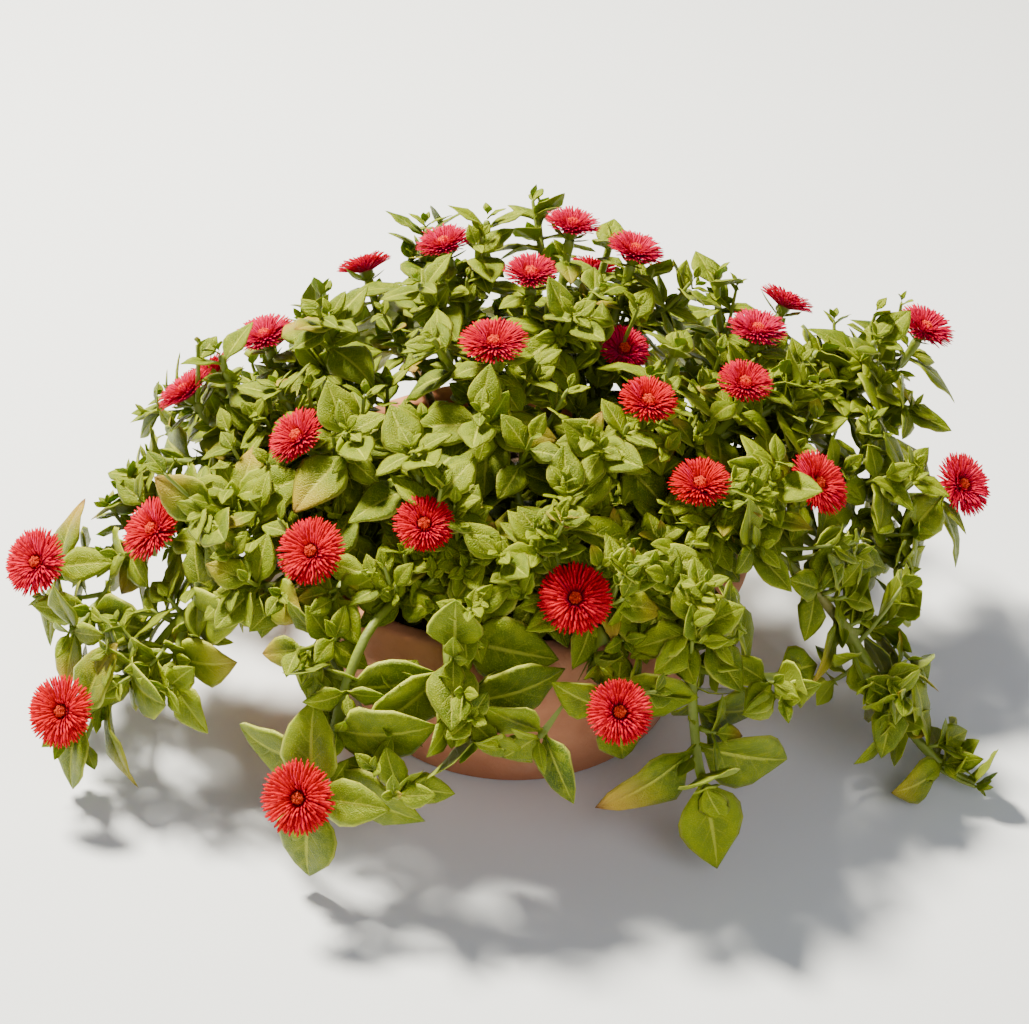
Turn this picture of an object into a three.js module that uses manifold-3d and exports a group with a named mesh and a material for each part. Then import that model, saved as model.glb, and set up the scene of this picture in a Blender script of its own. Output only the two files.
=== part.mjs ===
// A potted heartleaf ice plant: a trailing succulent with small red daisy blooms, in a plain clay pot.
// Millimetres, +Z up. The origin is the centre of the pot's foot, on the surface that it stands on.
// Most of the stems rise from the potting soil, spill over the rim and turn their tips up to the light.
import * as THREE from "three";
import { mergeVertices } from "three/addons/utils/BufferGeometryUtils.js";
import Module from "manifold-3d";

const wasm = await Module();
wasm.setup();

// Pot: a low clay pan, drained by three holes
const FOOT_RADIUS = 42;
const RIM_RADIUS = 61;
const POT_HEIGHT = 57;
const RIM_BAND = 13;
const RIM_STEP = 3.5;
const RIM_ROUND = 2;
const LIP_DROP = 0.8;
const WALL = 5;
const INNER_BEND = 40;
const FLOOR = 6;
const POT_SIDES = 24;
const DRAIN_RADIUS = 4;
const DRAIN_CIRCLE = 24;
const DRAINS = 3;

// Soil: a plug that fills the pot to a little below its rim
const SOIL_EDGE = 44;
const SOIL_FLAT = 30;
const SOIL_CROWN = 47;
const ROOT_DEPTH = 9;
const ROOT_GAP = 0.35;
const HOLE_ABOVE = 6;
const SEAT_GAP = 0.3;

// Stems
const STEM_RADIUS = 1.5;
const SHOOT_RADIUS = 1.2;
const OVER_RIM = 7;
const BEYOND_RIM = 3;
const RIM_ROOM = 2.5;
const ROOT_RISE = 1;
const ROOTED_REACH = 0.42;
const ROOTED_LEAST = 3;
const ROOTED_MOST = 42;
const ROOT_PULL = 0.75;
const TIP_PULL = 0.7;
const FORK_PULL = 0.8;
const SPILL_TURN = 0.6;
const SPILL_FALL = -0.35;
const SPILL_OVER_PULL = 0.8;
const CURVE_STEPS = 48;
const TIP_TO_PAIR = 2.5;
const STALK_TO_PAIR = 2.5;
const PAIR_STEP = 7.6;
const PAIR_SPREAD = 1.2;
const PAIRS = 3;
const BEND_STEP = 18;
const FORK_TURN = 0.6;
const ROOT_BARE = 12;
const FORK_BARE = 5;
const TAPER = 0.85;

// Leaves: an oval, pointed blade, folded up along its rib
const HALF_WIDTH = 0.36;
const FOLD = 20;
const RIB_THICKNESS = 1.3;
const NODE_HEIGHT = 1.8;
const CLEARANCE = 0.45;
const FLOOR_CLEARANCE = 0.6;
const MOST_INWARD = -0.45;
const UPWARD = 0.7;
const YOUNG_SIZE = 0.74;
const GROWN_SIZE = 0.94;
const SIZE_DRAW = 0.12;
const YOUNG_LIFT = 46;
const LIFT = 26;
const LIFT_DRAW = 16;
const SWING_DRAW = 22;
const YOUNG_TURN = 0.3;
const TURN_TO_LIGHT = 1.2;
const YOUNG_BEND = 14;
const BEND = 30;
const BEND_DRAW = 20;
const FINE_LENGTH = 21.5;
const FINE_YOUNG_LENGTH = 17.5;
const LEAST_OVERLAP = 1e-6;

// Stations of a blade: share of its length, and width as a share of the widest. A blade that is tried
// for room ends at the last share.
const STALK_STATION = [0.15, 0.4];
const BLADE = [[0.34, 1], [0.7, 0.68]];
const PLAIN_BLADE = [[0.42, 1]];
const TRIED_SHARE = 0.96;

// Blooms: thin pointed petals in two layers round a low button
const PETALS = 16;
const NOTCH = 0.56;
const UPPER_REACH = 0.8;
const OUTER_RISE = 3.1;
const UPPER_RISE = 4.9;
const NOTCH_RISE = 2.2;
const PETAL_THICKNESS = 1.3;
const BUTTON = 0.2;
const BUTTON_RISE = 3.5;
const SEAT_RADIUS = 1.7;
const CALYX_HEIGHT = 5;
const CALYX_RADIUS = 2.7;
const BLOOM_CENTRE_RISE = 3;

// The middle of the mound, which leaves turn away from
const MOUND_MIDDLE = new THREE.Vector3(0, 15, 25);
const UP = new THREE.Vector3(0, 0, 1);

// Each stem ends at its tip and leans by an azimuth and a tilt from upright, in degrees. bloom is the
// diameter of the bloom there, and leaf the length of its full-grown leaves. pairs is how many pairs of
// leaves it holds, young the share of its full length that the first pair has, and spin turns that
// pair. sides are the leafy shoots that branch from it, each from a share of the way along the stem.
const STEMS = [
  { tip: [-18, 38, 112], lean: [165, 12], bloom: 15, leaf: 16, spin: 20, sides: [
    { tip: [-7, 37, 119], lean: [95, 8], leaf: 16, spin: 80, from: 0.7 },
    { tip: [-24, 24, 108], lean: [200, 30], leaf: 16, spin: 10, from: 0.6 },
  ] },
  { tip: [15, 48, 112], lean: [30, 10], bloom: 15, leaf: 16, spin: 60, sides: [
    { tip: [6, 62, 108], lean: [95, 30], leaf: 17, spin: 20, from: 0.6 },
  ] },
  { tip: [31, 38, 110], lean: [10, 14], bloom: 15.5, leaf: 16, spin: 35, sides: [
    { tip: [46, 40, 97], lean: [15, 50], leaf: 16, spin: 5, from: 0.65 },
  ] },
  { tip: [4, 17, 115], lean: [-90, 4], bloom: 14, leaf: 16, spin: 50, sides: [
    { tip: [14, 4, 110], lean: [-60, 14], leaf: 17, spin: 15, from: 0.7 },
    { tip: [21, 22, 108], lean: [20, 20], leaf: 15, spin: 70, from: 0.62 },
  ] },
  { tip: [-5, -8, 110], lean: [-90, 6], bloom: 17.5, leaf: 18, spin: 30, sides: [
    { tip: [-19, -4, 107], lean: [180, 16], leaf: 17, spin: 75, from: 0.7 },
    { tip: [-8, -26, 101], lean: [-95, 24], leaf: 18, spin: 5, from: 0.62 },
  ] },
  { tip: [32, -17, 99], lean: [-60, 16], bloom: 15, leaf: 18, spin: 0, sides: [
    { tip: [21, -32, 95], lean: [-80, 26], leaf: 18, spin: 40, from: 0.68 },
    { tip: [40, 4, 101], lean: [20, 16], leaf: 17, spin: 60, from: 0.7 },
  ] },
  { tip: [57, 1, 93], lean: [-60, 14], bloom: 14.5, leaf: 19.5, spin: 40, sides: [
    { tip: [73, 14, 84], lean: [10, 34], leaf: 19.5, spin: 10, from: 0.66 },
  ] },
  { tip: [63, 32, 90], lean: [0, 7], bloom: 16.5, leaf: 18, spin: 45, sides: [
    { tip: [80, 38, 80], lean: [40, 36], leaf: 18, spin: 80, from: 0.62 },
  ] },
  { tip: [110, 50, 80], lean: [-15, 22], bloom: 17, leaf: 21.5, young: 0.9, spin: 10, pairs: 5, sides: [
    { tip: [94, 36, 84], lean: [-150, 14], leaf: 20.5, spin: 15, from: 0.66 },
    { tip: [103, 26, 70], lean: [-10, 50], leaf: 20.5, spin: 0, from: 0.6 },
  ] },
  { tip: [116, 9, 57], lean: [-42, 46], bloom: 18, leaf: 24, young: 0.9, spin: 5, pairs: 5, sides: [
    { tip: [101, 6, 64], lean: [-70, 18], leaf: 18, spin: 30, from: 0.62 },
    { tip: [100, -4, 40], lean: [-20, 80], leaf: 21.5, spin: 10, from: 0.6 },
  ] },
  { tip: [75, -14, 73], lean: [-30, 42], bloom: 18.5, leaf: 21.5, spin: 20, sides: [
    { tip: [62, -24, 80], lean: [-80, 24], leaf: 19.5, spin: 75, from: 0.7 },
    { tip: [84, -20, 56], lean: [-25, 62], leaf: 20.5, spin: 45, from: 0.64 },
  ] },
  { tip: [44, -33, 86], lean: [-100, 14], bloom: 15.5, leaf: 18, spin: 30, sides: [
    { tip: [57, -40, 73], lean: [-50, 42], leaf: 20.5, spin: 20, from: 0.66 },
    { tip: [14, -26, 80], lean: [-80, 16], leaf: 20.5, spin: 60, from: 0.3 },
  ] },
  { tip: [-66, 41, 83], lean: [175, 14], bloom: 17.5, leaf: 18, spin: 55, sides: [
    { tip: [-47, 24, 98], lean: [140, 14], leaf: 19.5, spin: 85, from: 0.62 },
    { tip: [-58, 58, 76], lean: [120, 42], leaf: 18, spin: 30, from: 0.64 },
  ] },
  { tip: [-84, 15, 82], lean: [165, 34], bloom: 16.5, leaf: 18, spin: 10, sides: [
    { tip: [-74, 14, 93], lean: [150, 16], leaf: 18, spin: 65, from: 0.7 },
    { tip: [-91, 1, 70], lean: [185, 64], leaf: 19.5, spin: 0, from: 0.64 },
  ] },
  { tip: [-53, -14, 87], lean: [-155, 34], bloom: 16.5, leaf: 19.5, spin: 70, sides: [
    { tip: [-40, -22, 93], lean: [-110, 18], leaf: 20.5, spin: 35, from: 0.7 },
    { tip: [-59, 4, 89], lean: [170, 24], leaf: 18, spin: 0, from: 0.64 },
    { tip: [-24, -14, 84], lean: [-110, 16], leaf: 20.5, spin: 30, from: 0.3 },
  ] },
  { tip: [-90, -18, 62], lean: [-150, 40], bloom: 18.5, leaf: 23, spin: 40, sides: [
    { tip: [-74, -27, 73], lean: [-130, 26], leaf: 24, spin: 85, from: 0.5 },
  ] },
  { tip: [-122, -10, 46], lean: [-124, 45], bloom: 18.5, leaf: 21.5, young: 0.94, spin: 15, pairs: 5,
    sides: [
    { tip: [-112, -26, 36], lean: [-130, 68], leaf: 21.5, spin: 15, from: 0.76 },
    { tip: [-99, 4, 58], lean: [165, 58], leaf: 19.5, spin: 25, from: 0.56 },
  ] },
  { tip: [-111, -50, 30], lean: [-116, 50], bloom: 18.5, leaf: 24, young: 0.9, spin: 0, pairs: 5, sides: [
    { tip: [-84, -48, 36], lean: [-100, 60], leaf: 21.5, spin: 60, from: 0.6 },
  ] },
  { tip: [-48, -44, 74], lean: [-115, 38], bloom: 17.5, leaf: 21.5, spin: 0, sides: [
    { tip: [-67, -42, 62], lean: [-140, 46], leaf: 21.5, spin: 50, from: 0.68 },
    { tip: [-46, -60, 52], lean: [-110, 66], leaf: 24, spin: 20, from: 0.62 },
  ] },
  { tip: [-21, -47, 84], lean: [-92, 32], bloom: 15, leaf: 20.5, spin: 60, sides: [
    { tip: [-14, -70, 63], lean: [-98, 62], leaf: 25, spin: 10, from: 0.42 },
    { tip: [-10, -74, 42], lean: [-96, 84], leaf: 25, spin: 40, from: 0.34 },
    { tip: [-24, -32, 94], lean: [-110, 26], leaf: 20.5, spin: 40, from: 0.64 },
  ] },
  { tip: [14, -61, 73], lean: [-88, 40], bloom: 18, leaf: 21.5, spin: 35, root: [2, -26], sides: [
    { tip: [12, -43, 89], lean: [-85, 18], leaf: 19.5, spin: 0, from: 0.6 },
    { tip: [-3, -55, 81], lean: [-100, 30], leaf: 18, spin: 50, from: 0.66 },
    { tip: [-1, -19, 84], lean: [-90, 14], leaf: 21.5, spin: 25, from: 0.3 },
  ] },
  { tip: [24, -79, 54], lean: [-80, 44], bloom: 16, leaf: 23, spin: 25, root: [13, -35], sides: [
    { tip: [6, -76, 44], lean: [-98, 74], leaf: 25, spin: 60, from: 0.66 },
    { tip: [31, -55, 77], lean: [-70, 34], leaf: 20.5, spin: 75, from: 0.3 },
  ] },
  { tip: [-50, -86, 34], lean: [-108, 52], bloom: 18.5, leaf: 27, young: 0.94, spin: 0, pairs: 4, sides: [
    { tip: [-26, -80, 32], lean: [-95, 58], leaf: 24, spin: 40, from: 0.72 },
  ] },
  { tip: [28, 22, 90], lean: [-60, 30], bloom: 14, leaf: 15, spin: 20, sides: [] },
  { tip: [-42, 84, 80], lean: [120, 34], bloom: 16, leaf: 19.5, spin: 30, sides: [
    { tip: [-24, 70, 99], lean: [110, 26], leaf: 18, spin: 70, from: 0.66 },
    { tip: [-58, 92, 56], lean: [125, 62], leaf: 21.5, spin: 10, from: 0.72 },
  ] },
  { tip: [22, 96, 72], lean: [80, 40], bloom: 17, leaf: 20.5, spin: 60, sides: [
    { tip: [26, 74, 93], lean: [70, 26], leaf: 19.5, spin: 15, from: 0.66 },
    { tip: [0, 102, 56], lean: [98, 60], leaf: 21.5, spin: 45, from: 0.7 },
  ] },
  { tip: [76, 78, 72], lean: [45, 36], bloom: 16.5, leaf: 20.5, spin: 15, sides: [
    { tip: [55, 62, 88], lean: [60, 24], leaf: 19.5, spin: 50, from: 0.66 },
    { tip: [54, 96, 50], lean: [62, 64], leaf: 21.5, spin: 80, from: 0.7 },
  ] },
  { tip: [-86, 70, 54], lean: [142, 44], bloom: 17, leaf: 20.5, spin: 50, pairs: 4, sides: [
    { tip: [-93, 44, 62], lean: [158, 46], leaf: 19.5, spin: 20, from: 0.6 },
    { tip: [-86, 84, 30], lean: [138, 72], leaf: 21.5, spin: 75, from: 0.76 },
  ] },
  { tip: [116, -48, 5], lean: [-24, 84], bloom: 0, leaf: 20.5, spin: 0, pairs: 6, sides: [
    { tip: [90, -46, 27], lean: [-60, 40], leaf: 19.5, spin: 20, from: 0.62 },
    { tip: [98, -17, 36], lean: [-10, 46], leaf: 21.5, spin: 50, from: 0.54 },
  ] },
  { tip: [45, -75, 30], lean: [-66, 52], bloom: 0, leaf: 29, young: 0.86, spin: 5, pairs: 4,
    root: [27, -31], sides: [
    { tip: [64, -56, 46], lean: [-45, 56], leaf: 24, spin: 80, from: 0.6 },
    { tip: [46, -62, 62], lean: [-55, 44], leaf: 21.5, spin: 0, from: 0.4 },
  ] },
];

// Small changes that a leaf may grow with to miss its neighbours: lift and swing in degrees, then size
const LEAF_WAYS = [
  [0, 0, 1], [14, 0, 1], [-14, 0, 1], [0, 16, 1], [0, -16, 1], [26, 10, 0.95], [-24, -10, 0.95],
  [12, -26, 0.9], [12, 26, 0.9], [0, 0, 0.78], [30, -14, 0.78], [-28, 14, 0.78], [42, 0, 0.82],
  [-42, 0, 0.82], [6, 34, 0.74], [6, -34, 0.74], [0, 0, 0.62],
];

// A number from 0 to 1 that is the same on each run: the fractional part of an even sequence.
function draw(index) {
  const value = 0.37 + index * 0.7548776662466927;
  return value - Math.floor(value);
}

const radians = (degrees) => (degrees * Math.PI) / 180;

function leaning([azimuth, tilt]) {
  const a = radians(azimuth);
  const t = radians(tilt);
  return new THREE.Vector3(Math.sin(t) * Math.cos(a), Math.sin(t) * Math.sin(a), Math.cos(t));
}

// A closed skin over rings of points, each with the same number of points, closed by flat ends.
// Where a face between two rings has a branch, the skin runs on along the branch's rings to its point.
function skin(rings, branches = new Map()) {
  const positions = [];
  const index = [];
  const put = (p) => positions.push(p.x, p.y, p.z) / 3 - 1;
  const numbered = rings.map((ring) => ring.map(put));
  const sides = rings[0].length;
  const bridge = (near, far) => near.forEach((a, i) => {
    const j = (i + 1) % near.length;
    index.push(a, near[j], far[i], near[j], far[j], far[i]);
  });
  const cap = (ring) => ring.slice(2).forEach((c, i) => index.push(ring[0], ring[i + 1], c));
  for (let r = 0; r + 1 < rings.length; r += 1) {
    const [low, high] = [numbered[r], numbered[r + 1]];
    for (let s = 0; s < sides; s += 1) {
      const t = (s + 1) % sides;
      const branch = branches.get(`${r},${s}`);
      if (branch) {
        const last = branch.rings.reduce((near, ring) => {
          const far = ring.map(put);
          bridge(near, far);
          return far;
        }, [low[s], low[t], high[t], high[s]]);
        const point = put(branch.point);
        last.forEach((a, i) => index.push(a, last[(i + 1) % last.length], point));
      } else {
        index.push(low[s], low[t], high[s], low[t], high[t], high[s]);
      }
    }
  }
  cap(numbered[0].toReversed());
  cap(numbered.at(-1));
  const geometry = new THREE.BufferGeometry();
  geometry.setAttribute("position", new THREE.Float32BufferAttribute(positions, 3));
  geometry.setIndex(index);
  return geometry;
}

// A closed three.js geometry as a solid that can be joined and cut.
function solid(geometry) {
  const bare = geometry.clone();
  bare.deleteAttribute("normal");
  bare.deleteAttribute("uv");
  const merged = mergeVertices(bare, 1e-4);
  return new wasm.Manifold(
    new wasm.Mesh({
      numProp: 3,
      vertProperties: new Float32Array(merged.attributes.position.array),
      triVerts: new Uint32Array(merged.index.array),
    }),
  );
}

function geometryOf(joined) {
  const mesh = joined.getMesh();
  const geometry = new THREE.BufferGeometry();
  geometry.setAttribute("position", new THREE.BufferAttribute(mesh.vertProperties, 3));
  geometry.setIndex(new THREE.BufferAttribute(mesh.triVerts, 1));
  return geometry;
}

// Pot
function potRadiusAt(height) {
  const under = RIM_RADIUS - RIM_STEP;
  return FOOT_RADIUS + ((under - FOOT_RADIUS) * height) / (POT_HEIGHT - RIM_BAND);
}

function lathe(profile) {
  const outline = profile.map(([r, z]) => new THREE.Vector2(r, z));
  return new THREE.LatheGeometry(outline, POT_SIDES).rotateX(Math.PI / 2);
}

function innerRadiusAt(height) {
  return potRadiusAt(height) - WALL;
}

function potSolid() {
  const bandFoot = POT_HEIGHT - RIM_BAND;
  const profile = [
    [0, 0],
    [FOOT_RADIUS, 0],
    [potRadiusAt(bandFoot), bandFoot],
    [RIM_RADIUS, bandFoot + RIM_ROUND],
    [RIM_RADIUS, POT_HEIGHT - RIM_ROUND],
    [RIM_RADIUS - RIM_ROUND, POT_HEIGHT],
    [RIM_RADIUS - WALL, POT_HEIGHT - LIP_DROP],
    [innerRadiusAt(INNER_BEND), INNER_BEND],
    [innerRadiusAt(FLOOR), FLOOR],
    [0, FLOOR],
  ];
  let pot = solid(lathe(profile));
  for (let i = 0; i < DRAINS; i += 1) {
    const a = radians(90 + (i * 360) / DRAINS);
    const drill = new THREE.CylinderGeometry(DRAIN_RADIUS, DRAIN_RADIUS, FLOOR * 4, 8).rotateX(Math.PI / 2);
    drill.translate(DRAIN_CIRCLE * Math.cos(a), DRAIN_CIRCLE * Math.sin(a), 0);
    pot = pot.subtract(solid(drill));
  }
  return pot;
}

function soilSolid(holes) {
  const profile = [
    [0, FLOOR + SEAT_GAP],
    [innerRadiusAt(FLOOR) - SEAT_GAP, FLOOR + SEAT_GAP],
    [innerRadiusAt(INNER_BEND) - 2 * SEAT_GAP, INNER_BEND],
    [innerRadiusAt(INNER_BEND) - 2 * SEAT_GAP, SOIL_EDGE],
    [SOIL_FLAT, SOIL_CROWN],
    [0, SOIL_CROWN],
  ];
  return holes.reduce((plug, hole) => plug.subtract(hole), solid(lathe(profile)));
}

// A direction that starts as the first and is turned by an angle towards the second.
function turnedBy(first, second, angle) {
  return first.clone().multiplyScalar(Math.cos(angle)).addScaledVector(second, Math.sin(angle));
}

// Stems: a smooth curve that leaves one point along a direction and reaches another along a second one
function curve(from, leave, to, arrive) {
  return (s) => {
    const s2 = s * s;
    const s3 = s2 * s;
    return new THREE.Vector3()
      .addScaledVector(from, 2 * s3 - 3 * s2 + 1)
      .addScaledVector(leave, s3 - 2 * s2 + s)
      .addScaledVector(to, 3 * s2 - 2 * s3)
      .addScaledVector(arrive, s3 - s2);
  };
}

// Evenly stepped points of a curve with their distances, so that places can be found from its tip.
function measured(at) {
  const steps = CURVE_STEPS;
  const points = Array.from({ length: steps + 1 }, (_, i) => at(i / steps));
  const along = [0];
  for (let i = 1; i <= steps; i += 1) along.push(along[i - 1] + points[i].distanceTo(points[i - 1]));
  const length = along[steps];
  const place = (distance) => {
    let i = 1;
    while (i < steps && along[i] < distance) i += 1;
    const share = (distance - along[i - 1]) / (along[i] - along[i - 1]);
    return {
      point: points[i - 1].clone().lerp(points[i], share),
      heading: points[i].clone().sub(points[i - 1]).normalize(),
    };
  };
  return { length, place, fromTip: (distance) => place(length - distance) };
}

// Two directions across a heading, turned by an angle from the level one.
function across(place, shoot, turn = 0) {
  const [azimuth] = shoot.lean;
  const level = new THREE.Vector3(-Math.sin(radians(azimuth)), Math.cos(radians(azimuth)), 0);
  const first = level.addScaledVector(place.heading, -level.dot(place.heading)).normalize();
  const second = place.heading.clone().cross(first);
  const turned = turnedBy(first, second, radians(shoot.spin + turn));
  return [turned, place.heading.clone().cross(turned)];
}

function squareRing(place, shoot, radius) {
  const [first, second] = across(place, shoot);
  return [0, 1, 2, 3].map((i) => {
    const a = radians(45 + 90 * i);
    return place.point.clone()
      .addScaledVector(first, radius * Math.cos(a))
      .addScaledVector(second, radius * Math.sin(a));
  });
}

// Where a stem's end lies: below its bloom's calyx, or at its youngest leaves.
function endOf(shoot) {
  const end = new THREE.Vector3(...shoot.tip);
  if (shoot.bloom) end.addScaledVector(leaning(shoot.lean), -BLOOM_CENTRE_RISE - SEAT_GAP - CALYX_HEIGHT);
  return end;
}

// A stem is rooted on its tip's side of the pot, or where its entry says.
function rootOf({ tip, root }) {
  const height = SOIL_CROWN + ROOT_RISE;
  if (root) return new THREE.Vector3(...root, height);
  const reach = Math.hypot(tip[0], tip[1]);
  const share = Math.min(ROOTED_MOST, reach * ROOTED_REACH + ROOTED_LEAST) / reach;
  return new THREE.Vector3(tip[0] * share, tip[1] * share, height);
}

// Two curves that meet over the pot's rim, for a stem that spills from inside it to low outside it.
function spill(from, leave, to, arrive) {
  const outside = new THREE.Vector3(to.x, to.y, 0).normalize();
  const rooted = new THREE.Vector3(from.x, from.y, 0).normalize();
  const sideways = rooted.lerp(outside, SPILL_TURN).normalize();
  const top = sideways.multiplyScalar(RIM_RADIUS + BEYOND_RIM).setZ(POT_HEIGHT + OVER_RIM);
  const over = outside.clone().setZ(SPILL_FALL).normalize();
  const before = from.distanceTo(top);
  const after = top.distanceTo(to);
  const crossing = over.clone().multiplyScalar(before * SPILL_OVER_PULL);
  const climb = curve(from, leave.clone().setLength(before), top, crossing);
  const fall = curve(top, over.multiplyScalar(after), to, arrive.clone().setLength(after * TIP_PULL));
  const share = before / (before + after);
  return (s) => (s < share ? climb(s / share) : fall((s - share) / (1 - share)));
}

function clearsRim(at) {
  return Array.from({ length: CURVE_STEPS + 1 }, (_, i) => at(i / CURVE_STEPS)).every((p) => {
    const reach = Math.hypot(p.x, p.y);
    const over = reach > RIM_RADIUS - WALL - RIM_ROOM && reach < RIM_RADIUS + RIM_ROOM;
    return !over || p.z > POT_HEIGHT + RIM_ROOM;
  });
}

function stemCurve(from, leave, to, arrive) {
  const direct = curve(from, leave, to, arrive);
  return clearsRim(direct) ? direct : spill(from, leave, to, arrive);
}

function rootedPath(shoot) {
  const root = rootOf(shoot);
  const end = endOf(shoot);
  const span = root.distanceTo(end);
  const leave = UP.clone().multiplyScalar(span * ROOT_PULL);
  return measured(stemCurve(root, leave, end, leaning(shoot.lean).multiplyScalar(span * TIP_PULL)));
}

function branchPath(parent, shoot) {
  const start = parent.place(parent.length * shoot.from);
  const end = endOf(shoot);
  const span = start.point.distanceTo(end);
  const straight = end.clone().sub(start.point).normalize();
  const pull = span * FORK_PULL;
  const leave = start.heading.clone().lerp(straight, FORK_TURN).setLength(pull);
  return measured(stemCurve(start.point, leave, end, leaning(shoot.lean).multiplyScalar(pull)));
}

// Leaves: pairs stand further apart down the stem
function pairDistance(shoot, pair) {
  const nearest = shoot.bloom ? STALK_TO_PAIR : TIP_TO_PAIR;
  return nearest + (PAIR_STEP * (PAIR_SPREAD ** pair - 1)) / (PAIR_SPREAD - 1);
}

function outward(point) {
  return point.clone().sub(MOUND_MIDDLE).normalize().addScaledVector(UP, UPWARD).normalize();
}

// Each pair of leaves grows from two opposite faces of the stem, and the next pair from the other two.
function faceOf(pair, half) {
  return (pair % 2) + 2 * half;
}

// A leaf's root, direction, upper side and size at one place round a stem.
function leafPose(shoot, pair, half, number, way) {
  const [lift, swing, size] = way;
  const place = shoot.path.fromTip(pairDistance(shoot, pair));
  const young = pair === 0 && !shoot.bloom;
  const turned = 90 * (faceOf(pair, half) + 1) + swing + (draw(number) - 0.5) * SWING_DRAW;
  const [away] = across(place, shoot, turned);
  const raised = radians((young ? YOUNG_LIFT : LIFT) + lift + (draw(number + 1) - 0.5) * LIFT_DRAW);
  const along = turnedBy(away, place.heading, raised);
  const face = turnedBy(place.heading, away, -raised);
  face.addScaledVector(outward(place.point), young ? YOUNG_TURN : TURN_TO_LIGHT).normalize();
  along.addScaledVector(face, -along.dot(face)).normalize();
  const grown = pair === 0 ? shoot.young ?? YOUNG_SIZE : GROWN_SIZE + SIZE_DRAW * draw(number + 2);
  const fine = shoot.leaf * grown > (pair === 1 ? FINE_YOUNG_LENGTH : FINE_LENGTH);
  return {
    root: place.point,
    along,
    face,
    length: shoot.leaf * grown * size,
    bend: radians(young ? YOUNG_BEND : BEND + BEND_DRAW * draw(number + 3)),
    stations: fine ? BLADE : PLAIN_BLADE,
  };
}

// The rings of a blade and its tip, on a rib that bends down evenly, with its two halves folded up.
function blade(pose, stations, grow) {
  const side = pose.face.clone().cross(pose.along);
  const at = (share) => {
    const turn = pose.bend * share;
    const centre = pose.root.clone()
      .addScaledVector(pose.along, (pose.length * Math.sin(turn)) / pose.bend)
      .addScaledVector(pose.face, (-pose.length * (1 - Math.cos(turn))) / pose.bend);
    return { centre, normal: turnedBy(pose.face, pose.along, turn) };
  };
  const rings = stations.map(([share, width]) => {
    const { centre, normal } = at(share);
    const half = width * pose.length * HALF_WIDTH + grow;
    const rib = RIB_THICKNESS / 2 + grow;
    const edge = (sign) => centre.clone()
      .addScaledVector(side, sign * half * Math.cos(radians(FOLD)))
      .addScaledVector(normal, half * Math.sin(radians(FOLD)));
    return [
      centre.clone().addScaledVector(normal, -rib),
      edge(1),
      centre.clone().addScaledVector(normal, rib),
      edge(-1),
    ];
  });
  return { rings, point: at(1 + (2 * grow) / pose.length).centre };
}

// A blade as a solid of its own, its point cut off a little, to try for room.
function bladeSolid({ rings, point }, start) {
  const end = rings.at(-1).map((p) => p.clone().lerp(point, TRIED_SHARE));
  return solid(skin([...start, ...rings, end]));
}

function meets(room, bounds, other) {
  const box = other.bounds;
  const apart = [0, 1, 2].some((i) => bounds.min[i] > box.max[i] || bounds.max[i] < box.min[i]);
  return !apart && room.intersect(other.made).volume() > LEAST_OVERLAP;
}

// Blooms: one closed surface, seat down, its axis along +Z. Each petal has a ridge and is flat below.
function bloomGeometry(diameter) {
  const radius = diameter / 2;
  const positions = [];
  const index = [];
  const step = (Math.PI * 2) / PETALS;
  const put = (share, turn, z) => {
    positions.push(share * radius * Math.cos(turn * step), share * radius * Math.sin(turn * step), z);
    return positions.length / 3 - 1;
  };
  const round = (count, make) => Array.from({ length: count }, (_, i) => make(i, (i * PETALS) / count));
  const notches = round(PETALS, (i) => put(NOTCH, i - 0.5, NOTCH_RISE));
  const ridges = round(PETALS, (i) => put(NOTCH, i, NOTCH_RISE + PETAL_THICKNESS));
  const tips = round(PETALS, (i) => (i % 2 ? put(UPPER_REACH, i, UPPER_RISE) : put(1, i, OUTER_RISE)));
  const button = round(PETALS / 2, (_, turn) => put(BUTTON, turn, BUTTON_RISE - 0.5));
  const top = put(0, 0, BUTTON_RISE);
  const seat = round(4, (_, turn) => put(SEAT_RADIUS / radius, turn, 0));
  const after = (ring, i) => ring[(i + 1) % ring.length];
  for (let i = 0; i < PETALS; i += 1) {
    index.push(notches[i], tips[i], ridges[i], ridges[i], tips[i], after(notches, i));
    index.push(notches[i], after(notches, i), tips[i]);
    const near = button[Math.round(i / 2) % button.length];
    index.push(notches[i], ridges[i], near, ridges[i], after(notches, i), near);
    if (i % 2) continue;
    index.push(button[i / 2], after(notches, i), after(button, i / 2));
  }
  button.forEach((from, i) => index.push(from, after(button, i), top));
  for (let i = 0; i < PETALS; i += 1) {
    const near = seat[Math.round((i * 4) / PETALS) % 4];
    index.push(after(notches, i), notches[i], near);
  }
  seat.forEach((from, i) => {
    const turn = Math.ceil(((i + 0.5) * PETALS) / 4);
    index.push(notches[turn % PETALS], from, after(seat, i));
  });
  index.push(seat[0], seat[2], seat[1], seat[0], seat[3], seat[2]);
  const geometry = new THREE.BufferGeometry();
  geometry.setAttribute("position", new THREE.Float32BufferAttribute(positions, 3));
  geometry.setIndex(index);
  return geometry;
}

function standBloom(geometry, shoot) {
  const axis = leaning(shoot.lean);
  geometry.applyQuaternion(new THREE.Quaternion().setFromUnitVectors(UP, axis));
  const seat = new THREE.Vector3(...shoot.tip).addScaledVector(axis, -BLOOM_CENTRE_RISE);
  return geometry.translate(seat.x, seat.y, seat.z);
}

function pairsOf(shoot) {
  return Array.from({ length: shoot.pairs ?? PAIRS }, (_, i) => i)
    .filter((i) => shoot.path.length - pairDistance(shoot, i) > (shoot.rooted ? ROOT_BARE : FORK_BARE))
    .reverse();
}

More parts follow.
